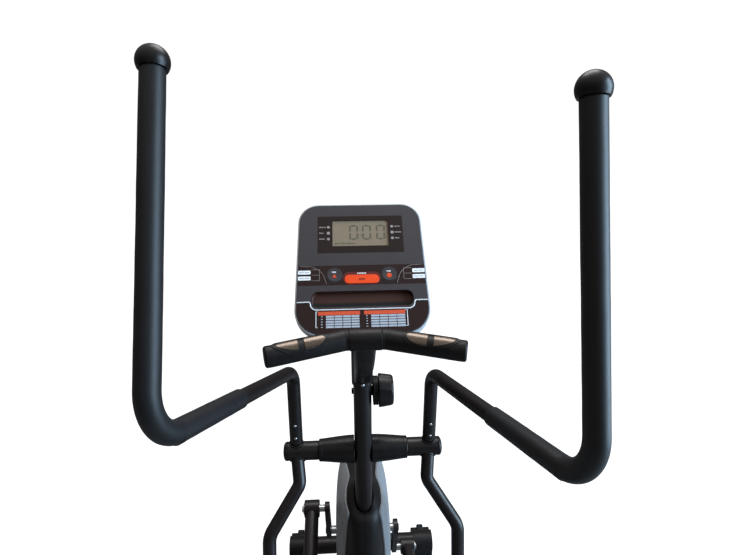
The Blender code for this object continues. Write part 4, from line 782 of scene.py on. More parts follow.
# %% Tapered pivot covers
for word, side in SIDES.items():
    rings = [(0.0219, 0.0315), (0.0219, 0.0334), (0.0227, 0.0340), (0.040, 0.0334), (0.060, 0.0318),
             (0.085, 0.0291), (0.0985, 0.0277), (0.0990, 0.0272), (0.1000, 0.0272), (0.1005, 0.0277),
             (0.1080, 0.0272), (0.1088, 0.0266), (0.1088, 0.0243), (0.060, 0.0293)]
    cover = turned("pivot_cover_cone_" + word, rings, pivot, "X" if side > 0 else "-X", sides=64)
    for way in (1, -1):
        seam = plate("seam", (0.0, -0.00025, 0.0), (0.15, 0.00025, 0.0005))
        across = Matrix.Translation(pivot + Vector((0.0, 0.0, way * 0.0337)))
        lean = Matrix.Rotation(math.radians(5.0 * way), 4, "Y")
        seam = placed(seam, Matrix.Rotation(0.0 if side > 0 else math.pi, 4, "Z"))
        seam = placed(seam, across @ (lean if side > 0 else lean.inverted()))
        combined(cover, seam, "DIFFERENCE")
    dressed(cover, "frame", smooth_moulding, ["pivot_cover_" + word])

# %% [markdown]
# ## Stem and pulse bar
# The stem is a sleeve round the post with an arm that climbs to the pulse bar. The arm is drawn from
# four-cornered sections, so that it can bend and swell, and its edges are rounded afterwards.


# %% Stem
def block_ring(half, lower, upper):
    """Four corners of a section of the stem's arm, from its lower and upper (y, z)."""
    (y0, z0), (y1, z1) = lower, upper
    return [Vector((-half, pivot.y + y0, z0)), Vector((half, pivot.y + y0, z0)),
            Vector((half, pivot.y + y1, z1)), Vector((-half, pivot.y + y1, z1))]


arm = drawn("arm", [block_ring(0.0196, (-0.022, 1.006), (-0.020, 1.088)),
                    block_ring(0.0196, (-0.042, 1.007), (-0.052, 1.087)),
                    block_ring(0.0198, (-0.076, 1.039), (-0.074, 1.089)),
                    block_ring(0.0200, (-0.112, 1.066), (-0.100, 1.099)),
                    block_ring(0.0200, (-0.150, 1.094), (-0.130, 1.114)),
                    block_ring(0.0200, (-0.190, 1.126), (-0.162, 1.132)),
                    block_ring(0.0200, (-0.225, 1.159), (-0.190, 1.150)),
                    block_ring(0.0200, (-0.268, 1.207), (-0.234, 1.207))])
softened(arm, 0.0085, segments=6, angle=50.0)
stem = drawn("stem", [oval_ring(0.050, 0.084, z, y=pivot.y) for z in (0.994, 0.997, 1.089, 1.092)])
softened(stem, 0.0012, segments=3, angle=50.0)
united(stem, arm)
room = drawn("room", [oval_ring(0.0433, 0.0768, z, y=pivot.y) for z in (0.97, 1.11)])
combined(stem, room, "DIFFERENCE")
combined(stem, cylinder_x("bar_room", -0.1, 0.1, 0.0199, (0.0, pivot.y - 0.264, 1.219)), "DIFFERENCE")
dressed(stem, "frame", powder_coat, ["handlebar_stem"])
stem_screw = screw_head("stem_screw", facing((0.0, pivot.y - 0.0415, 1.0005), (0.0, -1.0, 0.0)), 0.0040)
dressed(stem_screw, "frame", zinc_steel)

# %% [markdown]
# The pulse bar bows towards the user at its ends. Its grips are moulded sleeves with a rounded outer
# end. Each carries two brushed steel plates in one oval frame, for the pulse of the palm and the
# fingers. The plates are shells of the grip cut out by an upright oval.

# %% Pulse grips
bar_middle = Vector((0.0, pivot.y - 0.264, 1.219))
bar_end = Vector((0.1645, pivot.y - 0.3095, 1.214))
bar_turn = math.atan2(bar_middle.y - bar_end.y, bar_end.x)
sensor_turn = math.radians(6.0)


def bar_spot(side, across):
    """Point on the axis of one arm of the bar, at a distance from the machine's centre plane."""
    spot = bar_middle + (bar_end - bar_middle) * across / bar_end.x
    return Vector((side * spot.x, spot.y, spot.z))


def bar_points(side, low, high):
    """Start, bend and end of a stretch of the pulse bar on one side."""
    points = [bar_middle + Vector((low, 0.0005, 0.0)), bar_middle + Vector((0.037, 0.0003, -0.0004))]
    return [Vector((side * p.x, p.y, p.z)) for p in points] + [bar_spot(side, high)]


def sensor_place(side):
    """Where the sensors sit on one grip, turned a little towards the user."""
    turn = Matrix.Rotation(-side * bar_turn, 4, "Z") @ Matrix.Rotation(sensor_turn, 4, "X")
    return Matrix.Translation(bar_spot(side, 0.111)) @ turn


def oval_tool(side, length, width):
    """Upright oval over one grip, a little blunter at its ends than an ellipse."""
    ring = []
    for k in range(72):
        angle = math.tau * k / 72
        along = math.copysign(abs(math.cos(angle)) ** 0.92, math.cos(angle))
        ring.append(Vector((length / 2 * along, width / 2 * math.sin(angle), 0.0)))
    oval = drawn("oval", [ring, [p + Vector((0.0, 0.0, 0.06)) for p in ring]])
    return placed(oval, sensor_place(side))


for word, side in SIDES.items():
    grip = bent_tube("pulse_grip_sleeve_" + word, bar_points(side, 0.029, 0.1600), [0.010], 0.01875, sides=64)
    grip_end = bar_spot(side, 0.1712)
    axis = (grip_end - bar_spot(side, 0.120)).to_track_quat("Z", "Y").to_matrix().to_4x4()
    end_rings = [(-0.030, 0.0), (-0.030, 0.0182), (-0.0160, 0.0182), (-0.0120, 0.01868)]
    for k in range(9):
        angle = math.pi / 2 * k / 8
        end_rings.append((-0.0045 + 0.0045 * math.sin(angle), 0.01418 + 0.0045 * math.cos(angle)))
    end_rings.append((0.0, 0.0))
    united(grip, turned("grip_end", end_rings, Matrix.Translation(grip_end) @ axis, sides=64))
    bezel = bent_tube("bezel", bar_points(side, 0.0285, 0.168), [0.010], 0.02015, sides=64)
    combined(bezel, oval_tool(side, 0.0980, 0.0352), "INTERSECT")
    combined(bezel, oval_tool(side, 0.0844, 0.0266), "DIFFERENCE")
    united(grip, bezel)
    bar_room = bent_tube("bar_room", bar_points(side, 0.020, 0.1605), [0.010], 0.0131, sides=48)
    combined(grip, bar_room, "DIFFERENCE")
    dressed(grip, "frame", black_moulding, ["pulse_grip_" + word])

    plates = bent_tube("pulse_plates_" + word, bar_points(side, 0.0285, 0.168), [0.010], 0.0203, sides=64)
    core = bent_tube("core", bar_points(side, 0.020, 0.180), [0.010], 0.01885, sides=64)
    combined(plates, core, "DIFFERENCE")
    combined(plates, oval_tool(side, 0.0838, 0.0262), "INTERSECT")
    divider = plate("divider", (-0.0058, -0.05, 0.0), (0.0058, 0.05, 0.06))
    combined(plates, placed(divider, sensor_place(side)), "DIFFERENCE")
    dressed(plates, "frame", brushed_steel, ["pulse_sensor_" + word])

# %% Cover over the clamp
cover_rings = [(-0.0285, 0.0131), (-0.0285, 0.0188), (-0.0278, 0.0195), (0.0278, 0.0195), (0.0285, 0.0188),
               (0.0285, 0.0131)]
clamp = turned("clamp_cover", cover_rings, bar_middle, "X", sides=64)
dressed(clamp, "frame", black_moulding, ["bar_clamp_cover"])

# %% [markdown]
# ## Tension knob
# The knob turns on a fixed base on the right of the post. It is a drum that narrows a little outwards,
# with six low ridges for the fingers, and a raised rib marks where it points.


# %% Ridged knob
knob_centre = Vector((0.0, pivot.y, 0.963))


def ridged_ring(along, radius, height, count=6, points=168):
    """Ring about X whose radius rises at each ridge."""
    ring = []
    for k in range(points):
        angle = math.tau * k / points
        out = radius + height * max(0.0, math.cos(angle * count)) ** 5
        ring.append(knob_centre + Vector((along, -out * math.sin(angle), out * math.cos(angle))))
    return ring


knob_rings = [(0.0388, 0.0392, 0.0), (0.0392, 0.0402, 0.0), (0.0410, 0.0404, 0.0), (0.0440, 0.0400, 0.0009),
              (0.0560, 0.0383, 0.0014), (0.0670, 0.0366, 0.0014), (0.0705, 0.0356, 0.0006), (0.0728, 0.0340, 0.0),
              (0.0735, 0.0320, 0.0), (0.0732, 0.0280, 0.0), (0.0722, 0.0150, 0.0), (0.0720, 0.0020, 0.0)]
knob = drawn("knob", [ridged_ring(*ring) for ring in knob_rings])
rib = softened(plate("rib", (-0.0022, 0.008, 0.0), (0.0022, 0.0335, 0.0012), 0.002), 0.0003)
rib_foot = knob_centre + Vector((0.0722, 0.0, 0.0))
rib_place = Matrix.Translation(rib_foot) @ Matrix.Rotation(math.pi / 2, 4, "Y")
united(knob, placed(rib, rib_place @ Matrix.Rotation(math.pi / 2, 4, "Z")))
combined(knob, cylinder_x("bore", 0.03, 0.0622, 0.0066, knob_centre), "DIFFERENCE")
dressed(knob, "knob", smooth_moulding, ["tension_knob"])
base_rings = [(-0.0258, 0.0), (-0.0258, 0.0075), (-0.0217, 0.0075), (-0.0217, 0.0060), (0.0178, 0.0060),
              (0.0178, 0.0120), (0.0245, 0.0120), (0.0255, 0.0140), (0.0255, 0.0335), (0.0265, 0.0350),
              (0.0300, 0.0350), (0.0305, 0.0343), (0.0325, 0.0343), (0.0330, 0.0350), (0.0362, 0.0350),
              (0.0370, 0.0340), (0.0370, 0.0060), (0.0595, 0.0060), (0.0595, 0.0)]
base = turned("knob_seat", base_rings, knob_centre, "X", sides=64)
dressed(base, "frame", black_moulding, ["knob_base"])

# %% [markdown]
# ## Console
# The console is drawn flat, with X across, Y up its face and Z out of it, and then stood in its place.
# Its outline is a trapezoid with large round corners. The face is a block with pockets for the tray,
# the window and the keys; the silver back shell stands 3 mm proud all round and makes the bright rim.


# %% Outline of the face
def face_ring(out, z, steps=12):
    """Outline of the console face moved out by a distance, at a height, anticlockwise."""
    corners = [(-0.134 - out, -0.148 - out, 0.052 + out), (0.134 + out, -0.148 - out, 0.052 + out),
               (0.127 + out, 0.143 + out, 0.040 + out), (-0.127 - out, 0.143 + out, 0.040 + out)]
    ring = []
    for index, (x, y, radius) in enumerate(corners):
        here = Vector((x, y))
        before = (Vector(corners[index - 1][:2]) - here).normalized()
        after = (Vector(corners[(index + 1) % 4][:2]) - here).normalized()
        half = before.angle(after) / 2
        centre = here + (before + after).normalized() * radius / math.sin(half)
        start = here + before * radius / math.tan(half) - centre
        sweep = math.pi - 2 * half
        for k in range(steps + 1):
            angle = sweep * k / steps
            ring.append(Vector((centre.x + start.x * math.cos(angle) - start.y * math.sin(angle),
                                centre.y + start.x * math.sin(angle) + start.y * math.cos(angle), z)))
    return ring


def face_area(name, inset, bottom, top, low, high):
    """Thin area of the face between two heights, that follows the outline at its sides."""
    area = drawn(name, [face_ring(-inset, low), face_ring(-inset, high)])
    return combined(area, plate("keep", (-0.2, bottom, -0.05), (0.2, top, 0.05)), "INTERSECT")


def disc(name, x, y, radius, low, high):
    """Upright round tool or cap on the console."""
    return rod(name, low, high, radius, (x, y, 0.0))


def long_opening(low):
    """Tool that opens the face for the long key, down to a height."""
    return plate("pill", (-0.0358, -0.0426, low), (0.0358, -0.0222, 0.010), 0.0100, 8)


def console_piece(piece, material, nodes=(), body="frame"):
    """Stand a flat piece up on the console and dress it."""
    return dressed(placed(piece, console_place), body, material, nodes)


# %% Face block and its pockets
key_x, key_y, key_radius = 0.056, -0.0225, 0.0147
face = drawn("console_face", [face_ring(-0.0010, -0.022), face_ring(0.0, -0.0210), face_ring(0.0, -0.0012),
                              face_ring(-0.0004, -0.0004), face_ring(-0.0012, 0.0)])
tray = softened(plate("tray", (-0.103, -0.092, -0.014), (0.103, -0.058, 0.010), 0.014, 8), 0.003, 4, 60.0)
combined(face, tray, "DIFFERENCE")
combined(face, plate("seat", (-0.0903, 0.0277, -0.0022), (0.0903, 0.1153, 0.010), 0.002), "DIFFERENCE")
combined(face, plate("window", (-0.0615, 0.0415, -0.016), (0.0615, 0.1075, 0.010)), "DIFFERENCE")
for x in (-key_x, key_x):
    combined(face, disc("hole", x, key_y, key_radius + 0.0006, -0.018, 0.010), "DIFFERENCE")
combined(face, long_opening(-0.018), "DIFFERENCE")
console_piece(face, face_plastic, ["console_front"])

# %% [markdown]
# The tray is browner than the face, so a thin skin of its own lines the pocket. Its colour is
# darkened towards the lower edge as painted shade. Films above and below the tray are separate printed areas.

# %% Linings and printed areas
lining = plate("tray_lining", (-0.1028, -0.0918, -0.0139), (0.1028, -0.0582, -0.0003), 0.0138, 8)
softened(lining, 0.003, 4, 60.0)
hollow = plate("hollow", (-0.1022, -0.0912, -0.0132), (0.1022, -0.0588, 0.010), 0.0132, 8)
softened(hollow, 0.003, 4, 60.0)
combined(lining, hollow, "DIFFERENCE")
# The lining carries brown plastic with painted shade at its lower edge.
console_piece(lining, tray_plastic_with_painted_shade)
band = face_area("key_band", 0.0016, -0.0445, -0.0010, -0.0003, 0.00022)
lower = face_area("lower_film", 0.0016, -0.2, -0.0805, -0.0003, 0.00022)
combined(lower, plate("dip", (-0.1042, -0.0972, -0.01), (0.1042, -0.050, 0.01), 0.0150, 8), "DIFFERENCE")
for area in (band, lower):
    for x in (-key_x, key_x):
        combined(area, disc("hole", x, key_y, key_radius + 0.0006, -0.01, 0.010), "DIFFERENCE")
    combined(area, long_opening(-0.01), "DIFFERENCE")
console_piece(band, brown_film)
console_piece(lower, brown_film)
edge = bent_tube("silver_line", [(-0.1312, -0.0805, 0.0), (-0.1045, -0.0805, 0.0), (-0.1045, -0.0975, 0.0),
                                 (0.1045, -0.0975, 0.0), (0.1045, -0.0805, 0.0), (0.1312, -0.0805, 0.0)],
                 [0.004, 0.0125, 0.0125, 0.004], 0.0012, sides=16)
console_piece(edge, silver_film)

# %% Back shell, with vents, screws and a battery door
shell_steps = [(0.0028, -0.0028), (0.0034, -0.0036), (0.0034, -0.0240), (0.0028, -0.0290), (0.0000, -0.0400),
               (-0.0044, -0.0500), (-0.0080, -0.0550), (-0.0120, -0.0574), (-0.0160, -0.0580)]
shell = drawn("console_shell", [face_ring(out, z) for out, z in shell_steps])
inside = drawn("inside", [face_ring(0.0005, 0.010), face_ring(0.0005, -0.0230)])
combined(shell, inside, "DIFFERENCE")
for k in range(7):
    for x in (-0.060, 0.060):
        y = -0.086 + k * 0.007
        vent = plate("vent", (x - 0.022, y, -0.070), (x + 0.022, -0.083 + k * 0.007, -0.0562), 0.0014, 3)
        combined(shell, vent, "DIFFERENCE")
door = plate("door", (-0.0405, -0.1305, -0.070), (0.0405, -0.0985, -0.0574), 0.004, 4)
combined(shell, door, "DIFFERENCE")
console_piece(shell, silver_shell, ["console_back"])
door = plate("battery_door", (-0.0400, -0.1300, -0.0580), (0.0400, -0.0990, -0.0573), 0.004, 4)
console_piece(softened(door, 0.0003), silver_shell)
heads = [screw_head("head", facing((x, y, -0.0579), (0.0, 0.0, -1.0)), 0.0038)
         for x, y in ((-0.095, 0.105), (0.095, 0.105), (-0.098, -0.105), (0.098, -0.105))]
console_piece(joined("console_screws", heads), zinc_steel)

# %% [markdown]
# The display is a grey-green glass behind a tinted window with printed marks either side. Its digits
# are six-part noughts, each part a thin plate of ink with cut corners.

# %% Window and display
window = plate("window_frame", (-0.0900, 0.0280, -0.0018), (0.0900, 0.1150, 0.0), 0.0018, 3)
opening = plate("opening", (-0.0590, 0.0440, -0.010), (0.0590, 0.1050, 0.010), 0.0006, 2)
combined(window, opening, "DIFFERENCE")
softened(window, 0.0003, 2, 60.0)
console_piece(window, window_film, ["display_lens"])
glass = plate("display_pane", (-0.0600, 0.0430, -0.0120), (0.0600, 0.1060, -0.0024), 0.001, 2)
console_piece(softened(glass, 0.0003), display_glass, ["display_module"])


def nought(centre_x, centre_y, width, height, line):
    """Six plates that make one display nought."""
    tall = height / 2 - line * 1.1
    parts = []
    for way in (-1, 1):
        parts.append((centre_x, centre_y + way * (height - line) / 2, width - 2.3 * line, line, line * 0.25))
        for across in (-1, 1):
            x = centre_x + across * (width - line) / 2
            parts.append((x, centre_y + way * height / 4, line, tall, line * 0.25))
    return parts


digits = []
for x in (-0.0140, 0.0135, 0.0430):
    digits += nought(x, 0.0770, 0.0195, 0.0360, 0.0040)
digits += [(-0.0004, 0.0700, 0.0022, 0.0022, 0.0004), (-0.0004, 0.0840, 0.0022, 0.0022, 0.0004)]
digits += [(-0.0520 + 0.0048 * k, 0.0510, 0.0034, 0.0030 if k % 3 else 0.0042, 0.0003) for k in range(9)]
console_piece(marks("display_digits", digits, -0.0024, -0.00225), display_ink)

# %% Small printed marks beside the display
window_marks = []
for row, y in enumerate((0.0890, 0.0750, 0.0610)):
    for side in (-1, 1):
        window_marks.append((side * 0.0675, y, 0.0062, 0.0062, 0.0031 if row != 1 else 0.0012))
        start = side * 0.0800 - 0.0060
        window_marks += [(start + 0.0024 * k, y, 0.0017, 0.0026, 0.0) for k in range(4 + (row + side) % 3)]
console_piece(marks("window_marks", window_marks, -0.0001, 0.00016), grey_ink)

# %% [markdown]
# Keys stand 1.5 mm proud with a slightly dished top. The two round ones are face-coloured with a
# small orange mark; the long one in the middle is orange, in a dark red surround.


# %% Keys
def round_key(name, x, body, node, icon_sides):
    """Round key with a dished top."""
    rings = [(-0.0052, 0.0), (-0.0052, 0.0167), (-0.0034, 0.0167), (-0.0034, key_radius),
             (0.0009, key_radius), (0.0014, key_radius - 0.0004), (0.0015, key_radius - 0.0012),
             (0.0012, key_radius - 0.0030),
             (0.0009, 0.0060), (0.0008, 0.0)]
    key = turned(name, rings, (x, key_y, 0.0))
    console_piece(key, face_plastic, [node], body)
    marks_on_key = [(x + 0.0022 * k - 0.0040, key_y + 0.0062, 0.0016, 0.0026, 0.0) for k in range(4)]
    console_piece(marks(name + "_mark", marks_on_key, 0.0008, 0.00155), white_ink, (), body)
    icon = rod(name + "_icon", 0.0006, 0.0013, 0.0052, (x, key_y - 0.0030, 0.0), sides=icon_sides)
    console_piece(softened(icon, 0.0004), orange_ink, (), body)


round_key("key_set", -key_x, "set_button", "button_set", 3)
round_key("key_reset", key_x, "reset_button", "button_reset", 20)
long_key = plate("key_mode", (-0.0352, -0.0420, -0.0034), (0.0352, -0.0228, 0.0015), 0.0090, 8)
softened(long_key, 0.0007, 3, 60.0)
flange = plate("flange", (-0.0380, -0.0440, -0.0052), (0.0380, -0.0190, -0.0034), 0.0110, 8)
united(long_key, flange)
console_piece(long_key, orange_key, ["button_mode"], "mode_button")
key_marks = [(0.0031 * k - 0.0047, -0.0330, 0.0022, 0.0044, 0.0) for k in range(4)]
key_marks = marks("key_mode_mark", key_marks, 0.0010, 0.00155)
console_piece(key_marks, dark_red_ink, (), "mode_button")
surround = plate("key_surround", (-0.0385, -0.0442, -0.0003), (0.0385, -0.0165, 0.00045), 0.0120, 8)
combined(surround, long_opening(-0.01), "DIFFERENCE")
console_piece(surround, dark_red_ink)
key_words = [(0.0032 * k - 0.0080, -0.0194, 0.0022, 0.0026, 0.0) for k in range(6)]
console_piece(marks("key_surround_mark", key_words, 0.0003, 0.00060), white_ink)
for word, side in SIDES.items():
    ring = turned("key_ring_" + word, [(-0.0003, key_radius + 0.0007), (0.0005, key_radius + 0.0009),
                                       (0.0005, key_radius + 0.0021), (-0.0003, key_radius + 0.0023)],
                  (side * key_x, key_y, 0.0))
    console_piece(ring, face_plastic)

# %% Printing on the band and the lower film
labels, outlines = [], []
for side in (-1, 1):
    labels += [(side * 0.1170, y, 0.0255, 0.0088, 0.0016) for y in (-0.0155, -0.0285)]
    outlines += [(side * 0.0945, -0.0095, 0.0170, 0.0006, 0.0), (side * 0.0945, -0.0215, 0.0170, 0.0006, 0.0),
                 (side * 0.0945, -0.0340, 0.0170, 0.0006, 0.0), (side * 0.0863, -0.0218, 0.0006, 0.0245, 0.0)]
console_piece(marks("band_labels", labels, 0.0001, 0.00042), white_ink)
label_words = [(side * 0.1170 + 0.0021 * k - 0.0085, y, 0.0014, 0.0016, 0.0)
               for side in (-1, 1) for y in (-0.0155, -0.0285) for k in range(9) if k != 4]
console_piece(marks("band_label_words", label_words, 0.0003, 0.00052), grey_ink)
console_piece(marks("band_outlines", outlines, 0.0001, 0.00038), grey_ink)
for word, side in SIDES.items():
    corners = ((0.1250, -0.0020), (0.1000, -0.0030), (0.0800, -0.0160), (0.0720, -0.0420))
    arc = bent_tube("band_arc_" + word, [(side * x, y, 0.0002) for x, y in corners], [0.030, 0.030],
                    0.00035, sides=10)
    console_piece(arc, grey_ink)

headers, chart, brackets = [], [], []
for left, right in ((-0.089, -0.006), (0.002, 0.084)):
    headers.append(((left + right) / 2, -0.1050, right - left, 0.0080, 0.0008))
for left, right in ((-0.074, -0.007), (0.015, 0.084)):
    width = (right - left) / 4
    for column in range(4):
        for row in range(5):
            chart.append((left + width * (column + 0.5), -0.1118 - 0.0054 * row, width - 0.0012, 0.0039, 0.0))
    chart += [(left - 0.0075, -0.1118 - 0.0054 * row, 0.0030, 0.0016, 0.0) for row in range(5)]
for x, inward in ((-0.0930, 1), (0.0880, -1)):
    brackets += [(x, -0.1175, 0.0015, 0.0335, 0.0), (x + inward * 0.0015, -0.1010, 0.0040, 0.0010, 0.0),
                 (x + inward * 0.0015, -0.1340, 0.0040, 0.0010, 0.0)]
console_piece(marks("chart_headers", headers, 0.0001, 0.00040), header_ink)
console_piece(marks("chart_cells", chart, 0.0001, 0.00040), cell_ink)
console_piece(marks("chart_brackets", brackets, 0.0001, 0.00044), silver_film)

# %% [markdown]
# ## Shroud
# The shroud hides the drive. Its section swells over the flywheel and closes to a collar round the
# post. It is drawn whole from many rings, given its wall, and then split on the centre plane with
# bisect, so both halves meet in a fine seam as the moulded ones do. The heights of the sections are
# those of the solid, with a smooth curve passed through them.


# %% Sections of the shroud
shroud_rows = [(0.1525, 0.062, -0.052, 0.407), (0.205, 0.071, -0.076, 0.466), (0.280, 0.0765, -0.090, 0.498),
               (0.360, 0.078, -0.095, 0.504), (0.440, 0.0765, -0.093, 0.486), (0.510, 0.0725, -0.087, 0.430),
               (0.565, 0.067, -0.078, 0.338), (0.605, 0.0605, -0.069, 0.212), (0.633, 0.0535, -0.061, 0.130),
               (0.653, 0.0450, -0.053, 0.086),
               (0.670, 0.0350, -0.047, 0.060), (0.683, 0.02525, -0.0425, 0.0425)]


def between(rows, place):
    """Row at a fractional index, on a smooth curve through the rows."""
    index = min(int(place), len(rows) - 2)
    share = place - index
    before, start = rows[max(index - 1, 0)], rows[index]
    end, after = rows[index + 1], rows[min(index + 2, len(rows) - 1)]
    return [0.5 * (2 * b + (c - a) * share + (2 * a - 5 * b + 4 * c - d) * share ** 2
                   + (3 * b - a - 3 * c + d) * share ** 3) for a, b, c, d in zip(before, start, end, after)]


def shroud_ring(row, out=0.0, points=96):
    """Ring of the shroud at one row, moved out by a distance."""
    z, half_width, rear, front = row
    ring = []
    for k in range(points):
        angle = math.tau * k / points
        cos_a, sin_a = math.cos(angle), math.sin(angle)
        y = (front + rear) / 2 + ((front - rear) / 2 + out) * math.copysign(abs(cos_a) ** 0.8, cos_a)
        x = (half_width + out) * math.copysign(abs(sin_a) ** 0.8, sin_a)
        near_top = max(0.0, 1 - (0.683 - z) / 0.080)
        ring.append(Vector((x, pivot.y + y, z - 0.043 * near_top ** 2 * (1 - cos_a) / 2)))
    return ring


steps = 4
places = [k / steps for k in range((len(shroud_rows) - 1) * steps + 1)]
skin = drawn("skin", [shroud_ring(between(shroud_rows, place)) for place in places], capped=False)
changed(skin, "SOLIDIFY", thickness=0.0025, offset=-1.0, use_even_offset=True)
print("shroud skin", len(skin.data.polygons))


# %% Two halves, split on the centre plane
def half_of(source, name, side, gap):
    """One side of a piece, closed where it was cut."""
    bpy.ops.object.select_all(action="DESELECT")
    source.select_set(True)
    bpy.context.view_layer.objects.active = source
    bpy.ops.object.duplicate()
    half = bpy.context.object
    half.name = name
    begin_edit(half)
    bpy.ops.mesh.bisect(plane_co=(side * gap, 0, 0), plane_no=(side, 0, 0), use_fill=True, clear_inner=True)
    end_edit()
    return half


for word, side in SIDES.items():
    half = half_of(skin, "shroud_half_" + word, side, 0.0004)
    hole = cylinder_x("hole", *sorted((side * 0.03, side * 0.2)), 0.020, crank_centre)
    combined(half, hole, "DIFFERENCE")
    dressed(half, "frame", black_moulding, ["shroud_" + word], smooth=40)
bpy.data.objects.remove(skin, do_unlink=True)

# %% [markdown]
# A grey panel clips on to each side. It is a piece of a slightly larger skin, kept where a rounded
# outline in side view passes through it, so that it follows the swell of the shroud exactly.

# %% Side panels
panel_rings = [shroud_ring(between(shroud_rows, place), 0.0036) for place in places[2:-6]]
panel_skin = drawn("panel_skin", panel_rings, False)
changed(panel_skin, "SOLIDIFY", thickness=0.0028, offset=-1.0, use_even_offset=True)


def shroud_edge(place, angle):
    """Side view of the shroud's surface at a row and an angle."""
    z, half_width, rear, front = between(shroud_rows, place)
    cos_a = math.cos(angle)
    near_top = max(0.0, 1 - (0.683 - z) / 0.080)
    y = (front + rear) / 2 + (front - rear) / 2 * math.copysign(abs(cos_a) ** 0.8, cos_a)
    return pivot.y + y, z - 0.043 * near_top ** 2 * (1 - cos_a) / 2


front_angle, rear_angle = math.radians(40.0), math.radians(141.0)
outline = [shroud_edge(1.0, front_angle + (rear_angle - front_angle) * k / 12) for k in range(13)]
outline += [shroud_edge(1.0 + 8.0 * k / 24, rear_angle) for k in range(1, 25)]
outline += [shroud_edge(9.0, rear_angle + (front_angle - rear_angle) * k / 12) for k in range(1, 13)]
outline += [shroud_edge(9.0 - 8.0 * k / 24, front_angle) for k in range(1, 24)]
for _ in range(10):
    count = len(outline)
    outline = [tuple((outline[k - 1][a] + 2 * outline[k][a] + outline[(k + 1) % count][a]) / 4 for a in (0, 1))
               for k in range(count)]
for word, side in SIDES.items():
    panel = half_of(panel_skin, "shroud_panel_" + word, side, 0.004)
    stencil = drawn("stencil", [[Vector((x, y, z)) for y, z in outline] for x in (side * 0.005, side * 0.12)])
    combined(panel, stencil, "INTERSECT")
    hole = cylinder_x("hole", *sorted((side * 0.03, side * 0.2)), 0.020, crank_centre)
    combined(panel, hole, "DIFFERENCE")
    dressed(panel, "frame", grey_panel, ["side_panel_" + word], smooth=40)
bpy.data.objects.remove(panel_skin, do_unlink=True)

# %% [markdown]
# ## Cranks
# A crank is a flat bar between two bosses: two short cylinders wrapped in one convex hull, its edges
# broken, and bored for the axle and the pin. A dust cap sits in each hub.

# %% Cranks, caps and pins
pins = {word: middle("crank_pin_" + word) for word in SIDES}
for word, side in SIDES.items():
    pin = Vector((0.0, pins[word].y, pins[word].z))
    ends = sorted((side * 0.098, side * 0.112))
    crank = joined("crank_arm_" + word, [cylinder_x("hub", ends[0], ends[1], 0.024, crank_centre),
                                         cylinder_x("boss", ends[0], ends[1], 0.018, pin)])
    begin_edit(crank)
    bpy.ops.mesh.convex_hull()
    end_edit()
    softened(crank, 0.0016, 3, 60.0)
    near, far = sorted((side * 0.09, side * 0.12))
    combined(crank, cylinder_x("bore", near, far, 0.0126, crank_centre), "DIFFERENCE")
    dressed(crank, "crank_set", powder_coat, ["crank_" + word])
    ring = [(0.1130, 0.0), (0.1130, 0.0112), (0.1136, 0.0118),
            (0.1150, 0.0112), (0.1158, 0.0080), (0.1160, 0.0)]
    cap = turned("crank_dust_cap_" + word, ring, crank_centre, "X" if side > 0 else "-X")
    dressed(cap, "crank_set", smooth_moulding)
    rings = [(0.1126, 0.0), (0.1126, 0.0094), (0.1132, 0.0100), (0.1722, 0.0100), (0.1722, 0.0145),
             (0.1732, 0.0155), (0.1745, 0.0155), (0.1752, 0.0145), (0.1752, 0.0095),
             (0.1795, 0.0088), (0.1800, 0.0)]
    bolt = turned("crank_bolt_" + word, rings, pin, "X" if side > 0 else "-X", sides=36)
    dressed(bolt, "foot_link_" + word, zinc_steel, ["crank_pin_" + word])

# %% [markdown]
# ## Pedal bars and pedals
# A pedal bar runs from the crank pin through the swing arm's foot and bends up under the pedal. The
# pedal is a moulded tray: deep at the toe, shallow at the heel, with cross ribs that grip the shoe.

# %% Placing matrices of the pedal bars
link_places = {}
for word, side in SIDES.items():
    foot = arm_places[word] @ Vector((0.0, hinge[1], hinge[2]))
    pin = pins[word]
    rise = math.atan2(pin.z - foot.z, pin.y - foot.y)
    link_places[word] = Matrix.Translation((0.0, foot.y, foot.z)) @ Matrix.Rotation(rise, 4, "X")
    print(word, "pedal bar rises", round(math.degrees(rise), 2))
along = pins["left"] - link_places["left"].translation
reach = math.hypot(along.y, along.z)

# %% Pedal bars
tail_lean = math.radians(8.0)
for word, side in SIDES.items():
    place = link_places[word]
    x = side * 0.150
    tail = (x, -0.330 * math.cos(tail_lean), 0.330 * math.sin(tail_lean))
    bar = bent_tube("pedal_bar_tube_" + word, [place @ Vector((x, reach, 0.0)), place @ Vector((x, 0.0, 0.0)),
                                               place @ Vector(tail)], [0.25], 0.020, sides=40, finest=1.0)
    softened(bar, 0.0015, 2, 60.0)
    eye = turned("eye", [(x - 0.022, 0.0), (x - 0.022, 0.024), (x - 0.021, 0.025), (x + 0.021, 0.025),
                         (x + 0.022, 0.024), (x + 0.022, 0.0)],
                 place @ Matrix.Translation((0.0, reach, 0.0)), "X")
    pin = turned("pin", [(0.150, 0.0), (0.150, 0.015), (0.1832, 0.015), (0.1832, 0.010), (0.2490, 0.010),
                         (0.2490, 0.0125), (0.2500, 0.0135), (0.2520, 0.0135),
                         (0.2535, 0.0110), (0.2535, 0.0)],
                 place, "X" if side > 0 else "-X", sides=36)
    united(bar, eye, pin)
    bore = rod("bore", x - 0.05, x + 0.05, 0.0104, place @ Matrix.Translation((0.0, reach, 0.0)), "X")
    combined(bar, bore, "DIFFERENCE")
    dressed(bar, "foot_link_" + word, powder_coat, ["pedal_bar_" + word])

